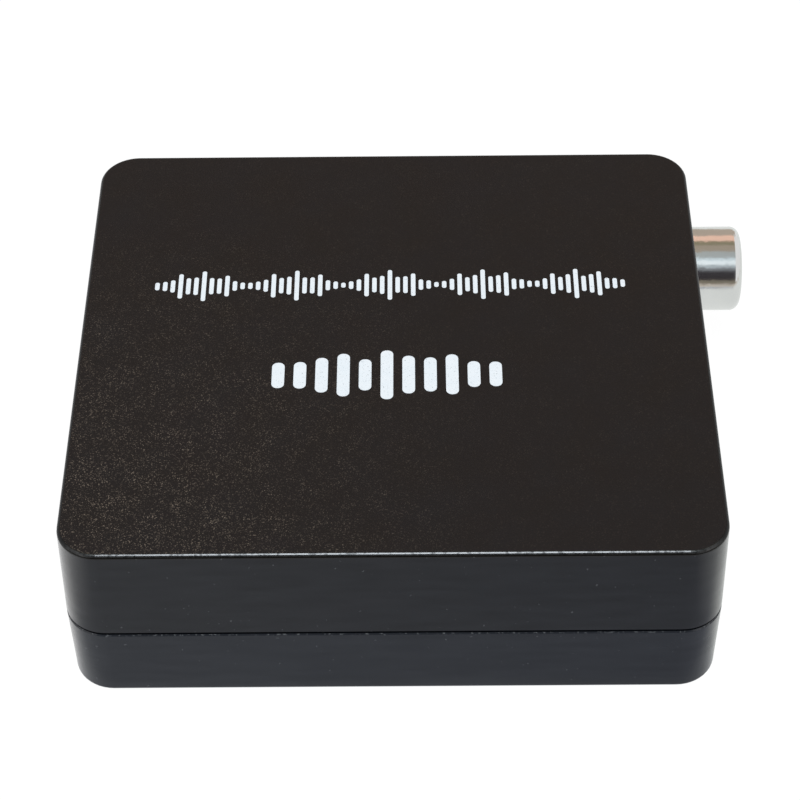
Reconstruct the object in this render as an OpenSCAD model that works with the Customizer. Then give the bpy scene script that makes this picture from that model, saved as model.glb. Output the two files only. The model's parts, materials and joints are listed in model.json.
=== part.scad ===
// Audio extractor for a digital picture-and-sound link: two plastic shells round one circuit board.
// X runs left to right, Y from the plain near face to the far face, and Z up.
// The origin is the middle of the flat underside. Every size is in millimetres.

/* [Case] */
// Width of the case, left to right
case_w = 58; // [57.5:0.5:66]
// Depth of the case, near face to far face
case_d = 53; // [52.5:0.5:60]
// Height of the case
case_h = 18.2; // [17.6:0.1:22]
// Height of the parting line over the underside
parting_z = 8; // [7.7:0.1:8.4]
// Radius of the four upright corners
corner_r = 3.8; // [3:0.1:4.2]
// How far the sides of each shell lean in, from the parting line to its flat face
side_lean = 0.16; // [0.05:0.01:0.3]
// Rounding of the top and bottom edges
edge_r = 0.4; // [0.2:0.05:0.6]
// Thickness of the side walls
wall_t = 1.8; // [1.6:0.1:2]
// Thickness of the top panel
top_t = 1.6; // [1.3:0.1:2]
// Thickness of the floor
floor_t = 1.5; // [1.3:0.1:1.7]
// Height of the shadow line between the two shells
seam_gap = 0.25; // [0.15:0.05:0.4]
// Height of the lip that stands up inside the parting line
lip_h = 1.2; // [0.8:0.1:1.5]
// Thickness of that lip
lip_t = 0.8; // [0.6:0.05:0.9]

/* [Posts and screws] */
// Radius of the posts that the screws bite into
post_r = 2.5; // [2.3:0.1:2.8]
// Gap between the left and right walls and the corner posts
post_gap_x = 1.2; // [0.9:0.1:1.8]
// Gap between the near and far walls and the posts beside them
post_gap_y = 0.2; // [0.15:0.05:0.6]
// Radius of a screw's shank
screw_r = 1.2; // [1:0.05:1.3]
// Length of a screw's shank under its head
screw_l = 8; // [6.5:0.5:12]
// Radius of a screw's head
screw_head_r = 2.2; // [1.9:0.1:2.4]
// Height of a screw's head
screw_head_h = 1.3; // [1:0.1:1.6]

/* [Circuit board] */
// Thickness of the circuit board
board_t = 1.2; // [1:0.1:1.6]
// Gap between the floor and the board
under_board = 1.6; // [1.4:0.1:2]
// Gap between the board's edge and the side walls
board_gap = 0.35; // [0.2:0.05:0.5]
// Least gap between a socket and what stands beside it
port_gap = 0.15; // [0.1:0.05:0.6]

/* [Coaxial socket] */
// Outer radius of the metal sleeve
sleeve_r = 4.15; // [3.9:0.05:4.3]
// Wall thickness of the sleeve
sleeve_t = 0.5; // [0.3:0.05:0.7]
// How far the sleeve stands out of the case
sleeve_out = 5.2; // [4:0.1:7]
// Radius of the bore in the middle contact
coax_bore_r = 1.6; // [1.4:0.05:1.7]
// Width of the plastic block behind the sleeve
coax_w = 9.6; // [9.2:0.1:10.4]
// Length of that block
coax_l = 10; // [9:0.1:11]

/* [Optical socket] */
// Width of the optical socket's housing
optical_w = 9.8; // [9.6:0.1:10.4]
// Thickness of that housing's walls
optical_wall = 0.5; // [0.4:0.05:0.7]
// Length of that housing
optical_l = 13.5; // [12.8:0.1:14]
// Width and height of its mouth
optical_mouth = 8; // [7.6:0.05:8.1]
// Thickness of the swinging shutter
shutter_t = 0.8; // [0.6:0.05:0.9]

/* [Picture sockets] */
// Width of a picture socket's metal shell
video_w = 14.6; // [14:0.1:15.2]
// Height of that shell
video_h = 5.2; // [4.9:0.1:5.6]
// Length of that shell
video_l = 11.4; // [10.6:0.1:12]
// Thickness of the tongue that carries the contacts
video_tongue_t = 1.1; // [0.9:0.05:1.3]

/* [Power socket] */
// Width of the power socket's metal shell
power_w = 7.7; // [7.3:0.1:8.1]
// Height of that shell
power_h = 3.95; // [3.8:0.05:4.3]
// Length of that shell
power_l = 9.2; // [8.6:0.1:9.6]

/* [Headphone socket] */
// Radius of the bore for the plug
phone_bore_r = 1.8; // [1.65:0.05:1.9]
// Radius of the round nose in the case wall
phone_nose_r = 2.9; // [2.7:0.05:3.1]
// Width of the socket's block
phone_w = 6; // [6:0.1:6.6]
// Height of that block
phone_h = 5; // [4.8:0.1:5.6]
// Length of that block
phone_l = 12; // [11:0.1:12.6]

/* [Mode switch] */
// Length of the switch frame along the far face
switch_w = 9.6; // [9.4:0.1:10.4]
// Height of the switch frame
switch_h = 4.6; // [4.4:0.1:5]
// Depth of the switch frame
switch_l = 4.2; // [4:0.1:4.6]
// Step from one position of the knob to the next
switch_step = 2; // [1.6:0.1:2]
// Width and height of the knob's stem
knob_w = 2; // [1.7:0.05:2.1]
// How far the knob stands out of the case
knob_out = 0.8; // [0.4:0.1:1.4]

/* [Power lamp] */
// Radius of the lamp's lens
lamp_r = 1.5; // [1.3:0.05:1.6]
// Length of the lens, from its flange to the top of its dome
lamp_l = 4.4; // [4:0.1:5]

/* [Hidden] */
$fn = 48;

// Overrun of every cut past the face that it opens
cut_run = 0.6;
// Gap where one piece passes through, or lies in, another that holds it
fit_gap = 0.1;
// Gap round everything that moves
move_gap = 0.3;
// Radial running fit of the shutter's pins
pin_play = 0.05;
// Steps in each rounded edge
edge_steps = 5;
// Small bevel of the rims along the parting line
rim_bevel = 0.12;
// Gap round each socket in the case wall
port_play = 0.2;
// Slack over and outside the lip
lip_play = 0.12;
// Thickness of sheet metal in the sockets
metal_t = 0.3;
// Share of the sheet's thickness by which a bent corner's inner bevel is shorter
bend_share = 0.6;
// How far through-board legs stand out under the board
leg_out = 0.6;
// Width of a through-board leg
leg_w = 0.8;

// Places that follow from the sizes above
board_bottom_z = floor_t + under_board;
board_top_z = board_bottom_z + board_t;
board_w = case_w - 2 * (wall_t + board_gap);
board_d = case_d - 2 * (wall_t + board_gap);
inner_w = case_w - 2 * wall_t;
inner_d = case_d - 2 * wall_t;
inner_r = corner_r - wall_t;
inner_top_z = case_h - top_t;
inside = wall_t + fit_gap;

// Screws, their counterbores and their holes
head_seat_z = 1.6;
shank_play = 0.05;
board_hole_play = 0.5;
board_hole_r = screw_r + board_hole_play;
counterbore_r = screw_head_r + 2 * fit_gap;
lower_post_r = counterbore_r + floor_t / 2;
drive_w = screw_head_r / 4;
drive_depth = screw_head_h / 2;
point_l = screw_r;
lower_hole_r = screw_r + 2 * fit_gap;

// Height over the board, and the depth that a post and its gap take at a face
room_h = inner_top_z - board_top_z;
post_room_y = wall_t + post_gap_y + 2 * post_r;

// Sockets along the right side, from the far wall to the near post, with the spare room shared out
right_gap_shares = [0.11, 0.29, 0.29];
corner_room_share = 0.3;
corner_room = corner_room_share * inner_r;
right_spare = case_d - wall_t - corner_room - post_room_y - coax_w - optical_w - video_w - 3 * port_gap;
coax_y = case_d / 2 - wall_t - corner_room - right_gap_shares[0] * right_spare - coax_w / 2;
optical_y = coax_y - (coax_w + optical_w) / 2 - port_gap - right_gap_shares[1] * right_spare;
video_out_y = optical_y - (optical_w + video_w) / 2 - port_gap - right_gap_shares[2] * right_spare;

// Metal and plastic sizes of the coaxial socket
strap_t = 0.4;
strap_w = 3;
coax_front = inside + strap_t;
coax_back = coax_front + coax_l;
coax_seat_l = 3;
// The sleeve's tail, inside the case, is a little narrower than what stands out
sleeve_step = 0.2;
sleeve_step_out = 0.05;
coax_seat_r = sleeve_r - sleeve_step + pin_play;
coax_seat_wall = 0.1;
// Heights of the sleeve's axis and of the block over the board, with the spare height shared out
coax_rise_share = 0.4167;
coax_top_share = 0.25;
coax_spare_h = room_h - 2 * (coax_seat_r + coax_seat_wall) - strap_t - fit_gap;
coax_rise = coax_seat_r + coax_seat_wall + coax_rise_share * coax_spare_h;
coax_h = coax_rise + coax_seat_r + coax_seat_wall + coax_top_share * coax_spare_h;
strap_plate_w = 7;
strap_foot_share = 0.6;
coax_tube_r = coax_bore_r + sleeve_t;
coax_pocket_w = coax_tube_r + 2 * fit_gap;
coax_pocket_l = 2.4;
coax_tail_w = 1.2;
coax_peg_r = 0.7;
// The sleeve's end is curled inwards, and the insulator's face lies where the curl begins
coax_curl_r = 0.4;
coax_lip_r = sleeve_t + coax_curl_r;
coax_lip_steps = 8;
coax_face_in = coax_lip_r;
coax_mouth_in = 1.4;

// Posts: two at the near corners, one at the far left, one beside the coaxial socket
post_x = case_w / 2 - wall_t - post_gap_x - post_r;
post_y = case_d / 2 - wall_t - post_gap_y - post_r;
side_post_gap = 3.2;
side_post_x = case_w / 2 - coax_back - strap_t - side_post_gap - post_r;
POSTS = [[-post_x, -post_y], [post_x, -post_y], [-post_x, post_y], [side_post_x, post_y]];

// Sockets along the left side, from the far post to the near one, the same distance apart
left_spare = case_d - 2 * post_room_y - phone_w - power_w - video_w - 4 * port_gap;
left_gap = port_gap + left_spare / 4;
phone_y = case_d / 2 - post_room_y - left_gap - phone_w / 2;
power_y = phone_y - (phone_w + power_w) / 2 - left_gap;
video_in_y = power_y - (power_w + video_w) / 2 - left_gap;
// Rise of each socket's shell over the board
socket_rise = 0.05;
// How far a socket's mouth lies inside the case wall's outer face
mouth_in = 0.3;

// Picture sockets
video_bevel = 1.6;
video_block_l = 4.6;
video_tongue_gap = 1.2;
video_tongue_w = video_w - 2 * (metal_t + video_tongue_gap);
video_tongue_in = 1.7;
video_tongue_z_share = 0.56;
video_pitch = 1;
video_row_n = 10;
contact_w = 0.32;
contact_t = 0.15;
contact_foot = 0.8;
contact_tip_in = 0.5;
leaf_w = 1.3;
leaf_l = 4;
leaf_in = 1.8;
leaf_y = 3.4;
slit_w = 0.3;

// Power socket
power_bevel = 0.9;
power_block_l = 3.4;
power_tongue_gap = 1.35;
power_tongue_w = power_w - 2 * (metal_t + power_tongue_gap);
power_tongue_t = 0.8;
power_tongue_in = 1.2;
power_tongue_z_share = 0.6;
power_pitch = 0.8;
power_row_n = 5;

// Optical socket, its housing as high as its mouth, two walls and a share of the spare height
optical_top_share = 0.3125;
optical_h = optical_mouth + 2 * optical_wall
    + optical_top_share * (room_h - optical_mouth - 2 * optical_wall - fit_gap);
optical_rim = 0.8;
optical_cavity_w = optical_w - 2 * optical_wall;
optical_cavity_h = optical_h - 2 * optical_wall;
optical_sill = 0.12;
optical_mouth_z = optical_wall + optical_sill;
optical_bevel = 1.2;
optical_light_r = 1.4;
optical_peg_r = 0.8;
shutter_play = 0.15;
shutter_pin_r = shutter_t / 2;
shutter_seat = 0.1;
// The cavity is deep enough for the open shutter, which then lies along its roof
optical_cavity_l = optical_rim + shutter_seat + optical_cavity_h;
optical_pocket_l = optical_l - optical_cavity_l - 2 * optical_wall;
shutter_x = -(mouth_in + optical_rim + shutter_seat + shutter_t / 2);
shutter_z = optical_wall + optical_cavity_h - shutter_play - shutter_t / 2;
shutter_w = optical_cavity_w - 2 * shutter_play;
shutter_drop = shutter_z - optical_wall - shutter_play;
shutter_pin_l = optical_wall - fit_gap;
emitter_pitch = 2.54;
emitter_side = 0.66;
optical_pocket_w = 2 * (emitter_pitch + emitter_side);
emitter_lens_r = optical_light_r - fit_gap;

// Headphone socket
phone_back_t = 0.9;
phone_depth = inside + phone_l - phone_back_t;
phone_rise = phone_h / 2;
phone_leg_w = 2;
phone_contact_t = 0.3;
phone_contact_at_shares = [[0.15, 1], [0.45, -1], [0.62, 1], [0.88, -1]];
phone_contact_h_share = 0.68;

// Mode switch and lamp along the far face
switch_travel = switch_step;
switch_knob_z_share = 0.62;
switch_base_t = 0.8;
switch_pin_n = 4;
carriage_w = switch_w - 2 * (metal_t + move_gap) - 2 * switch_travel;
carriage_h = switch_h - 2 * (metal_t + fit_gap);
carriage_l = 1.6;
wiper_t = 0.2;
wiper_w = switch_step + leg_w / 2;
lamp_out = 0.5;
lamp_rise = parting_z - board_top_z;
lamp_flange_out = 0.5;
lamp_flange_r = lamp_r + lamp_flange_out;
lamp_flange_l = 0.9;
lamp_lead_pitch = 1.7;
lamp_lead_w = 0.45;
lamp_lead_back = 1.1;
lamp_lead_x = lamp_out - lamp_l - lamp_flange_l - lamp_lead_back;
// Their places between the far left post and the one beside the coaxial socket
far_gap_share = 0.29;
far_spare = side_post_x + post_x - 2 * post_r - 2 * lamp_flange_r - switch_w;
lamp_x = -post_x + post_r + far_gap_share * far_spare + lamp_flange_r;
switch_x = lamp_x + lamp_flange_r + far_gap_share * far_spare + switch_w / 2;

// Chips: body width across the leads, body length, height, and where they lie on the board
chip_rise = 0.1;
lead_t = 0.15;
video_chip_w = 10;
video_chip_h = 1.4;
video_lead_pitch = 0.5;
video_lead_n = 16;
video_lead_w = 0.22;
video_lead_reach = 1;
audio_chip_w = 5.3;
audio_chip_d = 8.2;
audio_chip_h = 1.7;
audio_lead_pitch = 0.65;
audio_lead_n = 12;
audio_lead_w = 0.3;
audio_lead_reach = 1.25;
control_chip_w = 4.4;
control_chip_d = 6.5;
control_chip_h = 1;
control_lead_pitch = 0.6;
control_lead_w = 0.24;
control_lead_n = 10;
control_lead_reach = 1;
memory_chip_w = 3.9;
memory_chip_d = 4.9;
memory_chip_h = 1.4;
memory_lead_pitch = 1.27;
memory_lead_n = 4;
memory_lead_w = 0.42;
memory_lead_reach = 1.05;
regulator_w = 2.5;
regulator_d = 4.5;
regulator_h = 1.5;
regulator_lead_pitch = 1.5;
regulator_lead_w = 0.45;
regulator_lead_reach = 0.8;
regulator_tab_w = 1.7;
crystal_l = 8;
crystal_w = 3.8;
crystal_h = 3.4;
crystal_base_h = 0.5;
can_r = 2.5;
can_h = 5.4;
can_base_w = 5.3;
can_base_h = 0.7;
can_groove = 0.3;
can_groove_z = 1.2;
inductor_w = 4;
inductor_h = 2;
inductor_waist = 0.5;
array_w = 1.6;
array_d = 2.9;
array_h = 1.1;
chip_part_l = 1.6;
chip_part_w = 0.8;
resistor_h = 0.45;
ceramic_h = 0.8;
part_pitch = 1.7;
dimple_r = 0.35;
dimple_depth = 0.1;
dimple_in = 0.9;

// Rows of parts from the board's near edge to the mode switch, with the spare depth shared out
row_ds = [crystal_w, video_chip_w + 2 * video_lead_reach, chip_part_l, audio_chip_d, can_base_w];
row_gap_shares = [0.5, 0.07, 0.06, 0.1, 0.1];
switch_room = inside + switch_l + metal_t + leg_w - wall_t - board_gap;
rows_spare = board_d - switch_room - sum_to(row_ds, len(row_ds) - 1);

// Sum of a list up to its item i
function sum_to(list, i) = list[i] + (i > 0 ? sum_to(list, i - 1) : 0);

// Middle of row i
function row_y(i) = sum_to(row_ds, i) - row_ds[i] / 2 + rows_spare * sum_to(row_gap_shares, i) - board_d / 2;

crystal_y = row_y(0);
video_chip_y = row_y(1);
capacitors_y = row_y(2);
audio_chip_y = row_y(3);
cans_y = row_y(4);
array_gap = 5;
regulator_y = (video_chip_y + audio_chip_y + (array_gap + array_d - control_chip_d) / 2) / 2;

// Middle of item i of a row of such widths, spread evenly from x0 to x1
function spread_x(widths, x0, x1, i) =
    let (gap = (x1 - x0 - sum_to(widths, len(widths) - 1)) / (len(widths) + 1))
    x0 + sum_to(widths, i) - widths[i] / 2 + (i + 1) * gap;

// Widths along each row, and how far in from the sides its room begins
regulator_span = regulator_w + 2 * regulator_lead_reach;
crystal_row_ws = [memory_chip_w + 2 * memory_lead_reach, crystal_l + 2 * crystal_base_h, regulator_span];
video_row_ws = [array_w, chip_part_l, video_chip_w + 2 * video_lead_reach, chip_part_l, array_w];
audio_row_ws = [control_chip_w + 2 * control_lead_reach, chip_part_l,
    audio_chip_w + 2 * audio_lead_reach, inductor_w];
cans_row_ws = [can_base_w, can_base_w, can_base_w];
video_room_x = case_w / 2 - mouth_in - video_l - 3 * contact_foot - contact_t;
power_room_x = case_w / 2 - mouth_in - power_l - 2 * contact_foot - contact_t;
phone_room_x = case_w / 2 - inside - phone_l;
optical_room_x = case_w / 2 - mouth_in - optical_l;
coax_room_x = case_w / 2 - coax_back - strap_t;
capacitor_n = 9;

function crystal_row_x(i) = spread_x(crystal_row_ws, -video_room_x, video_room_x, i);
function video_row_x(i) = spread_x(video_row_ws, -video_room_x, video_room_x, i);
function audio_row_x(i) = spread_x(audio_row_ws, -phone_room_x, optical_room_x, i);
function cans_row_x(i) = spread_x(cans_row_ws, -phone_room_x, coax_room_x, i);

// Places on the board
memory_chip_at = [crystal_row_x(0), crystal_y];
crystal_at = [crystal_row_x(1), crystal_y];
regulators_at = [
    [spread_x([regulator_span], -power_room_x, -capacitor_n * part_pitch / 2, 0), regulator_y],
    [crystal_row_x(2), crystal_y]
];
arrays_at = [
    for (i = [0, 4], half = [-1, 1])
        [video_row_x(i), video_chip_y + half * array_gap / 2]
];
left_resistors_at = [video_row_x(1), video_chip_y];
video_chip_at = [video_row_x(2), video_chip_y];
right_resistors_at = [video_row_x(3), video_chip_y];
capacitors_at = [0, capacitors_y];
control_chip_at = [audio_row_x(0), audio_chip_y];
middle_resistors_at = [audio_row_x(1), audio_chip_y];
audio_chip_at = [audio_row_x(2), audio_chip_y];
inductor_at = [audio_row_x(3), audio_chip_y];
cans_at = [for (i = [0 : 2]) [cans_row_x(i), cans_y]];

// Outlines and helper solids

// Plain block with round upright corners
module round_block(w, d, r, h) {
    linear_extrude(height = h) {
        square([w - 2 * r, d], center = true);
        square([w, d - 2 * r], center = true);
        for (sx = [-1, 1], sy = [-1, 1])
            translate([sx * (w / 2 - r), sy * (d / 2 - r)])
                circle(r = r);
    }
}

// Outline of a shell from its middle out: bevelled rim at 0, leaning side, rounded edge at the height h
function leaning_side(half, h) = concat(
    [[0, 0], [half - rim_bevel, 0], [half, rim_bevel]],
    [for (i = [0 : edge_steps])
        let (turn = 90 * i / edge_steps)
        [half - side_lean - edge_r + edge_r * cos(turn), h - edge_r + edge_r * sin(turn)]],
    [[0, h]]
);

// The same outline with both its sides
function both_sides(half, h) =
    let (side = leaning_side(half, h), last = len(side) - 2)
    concat(
        [for (i = [1 : last]) side[i]],
        [for (i = [last : -1 : 1]) [-side[i][0], side[i][1]]]
    );

// Outer block of one shell, widest at z = 0 and leaning in to the height h
module leaning_block(h) {
    corner_x = case_w / 2 - corner_r;
    corner_y = case_d / 2 - corner_r;
    for (sx = [-1, 1], sy = [-1, 1])
        translate([sx * corner_x, sy * corner_y, 0])
            rotate_extrude()
                polygon(leaning_side(corner_r, h));
    translate([-corner_x, 0, 0])
        rotate([90, 0, 90])
            linear_extrude(height = 2 * corner_x)
                polygon(both_sides(case_d / 2, h));
    translate([0, corner_y, 0])
        rotate([90, 0, 0])
            linear_extrude(height = 2 * corner_y)
                polygon(both_sides(case_w / 2, h));
}

// Moves a piece drawn at the origin, with its mouth towards +X, to the right or left side of the case
module at_side(side, y) {
    mirror([side < 0 ? 1 : 0, 0, 0])
        translate([case_w / 2, y, board_top_z])
            children();
}

// Moves such a piece to the far face
module at_far(x) {
    translate([x, case_d / 2, board_top_z])
        rotate([0, 0, 90])
            children();
}

// Stands a flat outline up across the socket's axis and runs it from x_back to x_front
module along(x_back, x_front) {
    translate([x_back, 0, 0])
        rotate([90, 0, 90])
            linear_extrude(height = x_front - x_back)
                children();
}

// Round bar along the socket's axis
module bar(r, x_back, x_front, z) {
    translate([x_back, 0, z])
        rotate([0, 90, 0])
            cylinder(r = r, h = x_front - x_back);
}

// Strip of the width w cut from a side view drawn in X and Z
module strip(w) {
    rotate([90, 0, 0])
        linear_extrude(height = w, center = true)
            children();
}

// Centred box that stands on z0
module box(x0, x1, w, z0, z1) {
    translate([x0, -w / 2, z0])
        cube([x1 - x0, w, z1 - z0]);
}

// Outline of a socket shell: flat top, bevelled lower corners
function socket_outline(w, h, bevel, z0) = [
    [-w / 2 + bevel, z0], [w / 2 - bevel, z0], [w / 2, z0 + bevel],
    [w / 2, z0 + h], [-w / 2, z0 + h], [-w / 2, z0 + bevel]
];

// Two pairs of legs that run down through the board, grown by the given gap
module socket_legs(w, l, top_z, grow) {
    for (side = [-1, 1], share = [0.25, 0.75])
        translate([-mouth_in - share * l, side * (w / 2 - metal_t / 2), 0])
            box(-leg_w / 2 - grow, leg_w / 2 + grow, metal_t + 2 * grow, -board_t - leg_out, top_z);
}

// Folded sheet-metal shell of a flat socket
module socket_shell(w, h, l, bevel) {
    difference() {
        union() {
            along(-mouth_in - l, -mouth_in)
                polygon(socket_outline(w, h, bevel, socket_rise));
            socket_legs(w, l, socket_rise + bevel + metal_t, 0);
        }
        along(-mouth_in - l - cut_run, -mouth_in + cut_run)
            polygon(socket_outline(w - 2 * metal_t, h - 2 * metal_t,
                bevel - bend_share * metal_t, socket_rise + metal_t));
    }
}

// Slits round one springy leaf in the top of a socket shell
module leaf_slits(y, z) {
    translate([0, y, 0]) {
        for (side = [-1, 1])
            translate([0, side * (leaf_w + slit_w) / 2, 0])
                box(-mouth_in - leaf_in - leaf_l, -mouth_in - leaf_in, slit_w, z - cut_run, z + cut_run);
        box(-mouth_in - leaf_in - slit_w, -mouth_in - leaf_in, leaf_w + 2 * slit_w, z - cut_run, z + cut_run);
    }
}

// Side view of one contact: along the tongue, back through the block, down to the board, and its foot
function contact_side(x_tip, x_drop, z) = [
    [x_tip, z], [x_tip, z + contact_t], [x_drop - contact_t, z + contact_t],
    [x_drop - contact_t, contact_t], [x_drop - contact_t - contact_foot, contact_t],
    [x_drop - contact_t - contact_foot, 0], [x_drop, 0], [x_drop, z]
];

// One row of such contacts
module contact_row(count, pitch, x_tip, x_drop, z) {
    for (i = [0 : count - 1])
        translate([0, (i - (count - 1) / 2) * pitch, 0])
            strip(contact_w)
                polygon(contact_side(x_tip, x_drop, z));
}

// Block and tongue of a flat socket, before its contacts are let in
module socket_block(w, h, l, bevel, block_l, tongue_w, tongue_t, tongue_in, tongue_z) {
    along(-mouth_in - l, -mouth_in - l + block_l)
        polygon(socket_outline(w - 2 * metal_t - fit_gap, h - 2 * metal_t - fit_gap,
            bevel - bend_share * metal_t, socket_rise + metal_t + fit_gap / 2));
    box(-mouth_in - l + block_l / 2, -mouth_in - tongue_in, tongue_w, tongue_z, tongue_z + tongue_t);
}

// Side view of one gull-wing lead, out from a chip body whose half width is half
function gull_side(half, exit_z, reach) = [
    [half, exit_z], [half, exit_z + lead_t], [half + reach / 3 + lead_t, exit_z + lead_t],
    [half + reach / 3 + lead_t, lead_t], [half + reach, lead_t], [half + reach, 0],
    [half + reach / 3, 0], [half + reach / 3, exit_z]
];

// Leads along both long sides of a chip
module lead_rows(half, count, pitch, lead_w, exit_z, reach) {
    for (side = [0, 180], i = [0 : count - 1])
        rotate([0, 0, side])
            translate([0, (i - (count - 1) / 2) * pitch, 0])
                strip(lead_w)
                    polygon(gull_side(half, exit_z, reach));
}

// Moulded chip body with the dimple that marks its first lead
module chip_body(w, d, h) {
    difference() {
        translate([-w / 2, -d / 2, chip_rise])
            cube([w, d, h]);
        translate([-w / 2 + dimple_in, d / 2 - dimple_in, chip_rise + h - dimple_depth])
            cylinder(r = dimple_r, h = dimple_depth + cut_run);
    }
}

// Moves a piece drawn on z = 0 to its place on the board
module on_board(at) {
    translate([at[0], at[1], board_top_z])
        children();
}

// Row of small chip parts, lying across the row
module part_row(count, h, turn) {
    rotate([0, 0, turn])
        for (i = [0 : count - 1])
            translate([-chip_part_l / 2, (i - (count - 1) / 2) * part_pitch - chip_part_w / 2, 0])
                cube([chip_part_l, chip_part_w, h]);
}

// Openings in the case wall, the same ones in both shells

module flat_port_cut(w, h, bevel) {
    along(-wall_t - cut_run, cut_run)
        polygon(socket_outline(w + 2 * port_play, h + 2 * port_play, bevel, socket_rise - port_play));
}

module port_cuts() {
    at_side(1, coax_y)
        bar(sleeve_r + port_play, -wall_t - cut_run, cut_run, coax_rise);
    at_side(1, optical_y)
        box(-wall_t - cut_run, cut_run, optical_w + 2 * port_play, -port_play, optical_h + port_play);
    at_side(1, video_out_y)
        flat_port_cut(video_w, video_h, video_bevel);
    at_side(-1, video_in_y)
        flat_port_cut(video_w, video_h, video_bevel);
    at_side(-1, power_y)
        flat_port_cut(power_w, power_h, power_bevel);
    at_side(-1, phone_y)
        bar(phone_nose_r + port_play, -wall_t - cut_run, cut_run, phone_rise);
    at_far(switch_x)
        box(-wall_t - cut_run, cut_run, knob_w + 2 * (switch_travel + move_gap),
            switch_knob_z_share * switch_h - knob_w / 2 - move_gap,
            switch_knob_z_share * switch_h + knob_w / 2 + move_gap);
    at_far(lamp_x)
        bar(lamp_r + fit_gap, -wall_t - cut_run, cut_run, lamp_rise);
}

// Case

module upper_shell() {
    rim_z = parting_z + seam_gap / 2;
    lip_top_z = parting_z + lip_h + lip_play;
    color([0.15, 0.14, 0.13])
        difference() {
            union() {
                difference() {
                    translate([0, 0, rim_z])
                        leaning_block(case_h - rim_z);
                    translate([0, 0, rim_z - cut_run])
                        round_block(inner_w, inner_d, inner_r, inner_top_z - rim_z + cut_run);
                    translate([0, 0, rim_z - cut_run])
                        round_block(inner_w + 2 * (lip_t + lip_play), inner_d + 2 * (lip_t + lip_play),
                            inner_r + lip_t + lip_play, lip_top_z - rim_z + cut_run);
                }
                for (at = POSTS)
                    translate([at[0], at[1], board_top_z])
                        cylinder(r = post_r, h = inner_top_z - board_top_z + top_t / 2);
            }
            for (at = POSTS)
                translate([at[0], at[1], board_top_z - cut_run])
                    cylinder(r = screw_r + shank_play, h = screw_l - (board_top_z - head_seat_z) + 2 * cut_run);
            port_cuts();
        }
}

module lower_shell() {
    rim_z = parting_z - seam_gap / 2;
    color([0.17, 0.17, 0.19])
        difference() {
            union() {
                difference() {
                    union() {
                        translate([0, 0, rim_z])
                            mirror([0, 0, 1])
                                leaning_block(rim_z);
                        translate([0, 0, rim_z - lip_h])
                            round_block(inner_w + 2 * lip_t, inner_d + 2 * lip_t, inner_r + lip_t,
                                parting_z + 2 * lip_h - rim_z);
                    }
                    translate([0, 0, floor_t])
                        round_block(inner_w, inner_d, inner_r, parting_z + lip_h);
                }
                for (at = POSTS)
                    translate([at[0], at[1], floor_t / 2])
                        cylinder(r = lower_post_r, h = board_bottom_z - floor_t / 2);
            }
            for (at = POSTS)
                translate([at[0], at[1], 0]) {
                    translate([0, 0, -cut_run])
                        cylinder(r = counterbore_r, h = head_seat_z + cut_run);
                    cylinder(r = lower_hole_r, h = board_bottom_z + cut_run);
                }
            port_cuts();
        }
}

module case_screws() {
    color([0.2, 0.2, 0.22])
        for (at = POSTS)
            translate([at[0], at[1], head_seat_z])
                difference() {
                    union() {
                        translate([0, 0, -screw_head_h])
                            cylinder(r = screw_head_r, h = screw_head_h);
                        cylinder(r = screw_r, h = screw_l - point_l);
                        translate([0, 0, screw_l - point_l])
                            cylinder(r1 = screw_r, r2 = screw_r / 4, h = point_l);
                    }
                    for (turn = [0, 90])
                        rotate([0, 0, turn])
                            translate([-screw_head_r / 2, -drive_w / 2, -screw_head_h - cut_run])
                                cube([screw_head_r, drive_w, drive_depth + cut_run]);
                }
}

// Circuit board, with the holes for its screws and for every leg that runs through it

module circuit_board() {
    color([0.05, 0.3, 0.16])
        difference() {
            translate([0, 0, board_bottom_z])
                round_block(board_w, board_d, inner_r - board_gap, board_t);
            for (at = POSTS)
                translate([at[0], at[1], board_bottom_z - cut_run])
                    cylinder(r = board_hole_r, h = board_t + 2 * cut_run);
            for (side = [-1, 1])
                at_side(side, side > 0 ? video_out_y : video_in_y)
                    socket_legs(video_w, video_l, cut_run, fit_gap);
            at_side(-1, power_y)
                socket_legs(power_w, power_l, cut_run, fit_gap);
            at_side(-1, phone_y)
                phone_legs(cut_run, fit_gap);
            at_side(1, optical_y) {
                optical_pegs(fit_gap);
                emitter_legs(cut_run, fit_gap);
            }
            at_side(1, coax_y) {
                coax_pegs(fit_gap);
                coax_legs(cut_run, fit_gap);
            }
            at_far(switch_x)
                switch_legs(cut_run, fit_gap);
            at_far(lamp_x)
                lamp_legs(cut_run, fit_gap);
        }
}

// Picture sockets

module video_shell(side, y) {
    color("silver")
        at_side(side, y)
            difference() {
                socket_shell(video_w, video_h, video_l, video_bevel);
                for (leaf = [-1, 1])
                    leaf_slits(leaf * leaf_y, socket_rise + video_h);
            }
}

module video_contact_rows() {
    tongue_z = socket_rise + video_tongue_z_share * video_h - video_tongue_t / 2;
    x_tip = -mouth_in - video_tongue_in - contact_tip_in;
    contact_row(video_row_n, video_pitch, x_tip, -mouth_in - video_l - 2 * contact_foot,
        tongue_z + video_tongue_t);
    contact_row(video_row_n - 1, video_pitch, x_tip, -mouth_in - video_l - contact_foot / 2,
        tongue_z - contact_t);
}

module video_insulator(side, y) {
    color([0.08, 0.08, 0.08])
        at_side(side, y)
            difference() {
                socket_block(video_w, video_h, video_l, video_bevel, video_block_l, video_tongue_w,
                    video_tongue_t, video_tongue_in,
                    socket_rise + video_tongue_z_share * video_h - video_tongue_t / 2);
                video_contact_rows();
            }
}

module video_contacts(side, y) {
    color("gold")
        at_side(side, y)
            video_contact_rows();
}

// Power socket

module power_contact_row() {
    contact_row(power_row_n, power_pitch, -mouth_in - power_tongue_in - contact_tip_in,
        -mouth_in - power_l - contact_foot / 2,
        socket_rise + power_tongue_z_share * power_h - power_tongue_t / 2 - contact_t);
}

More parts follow.
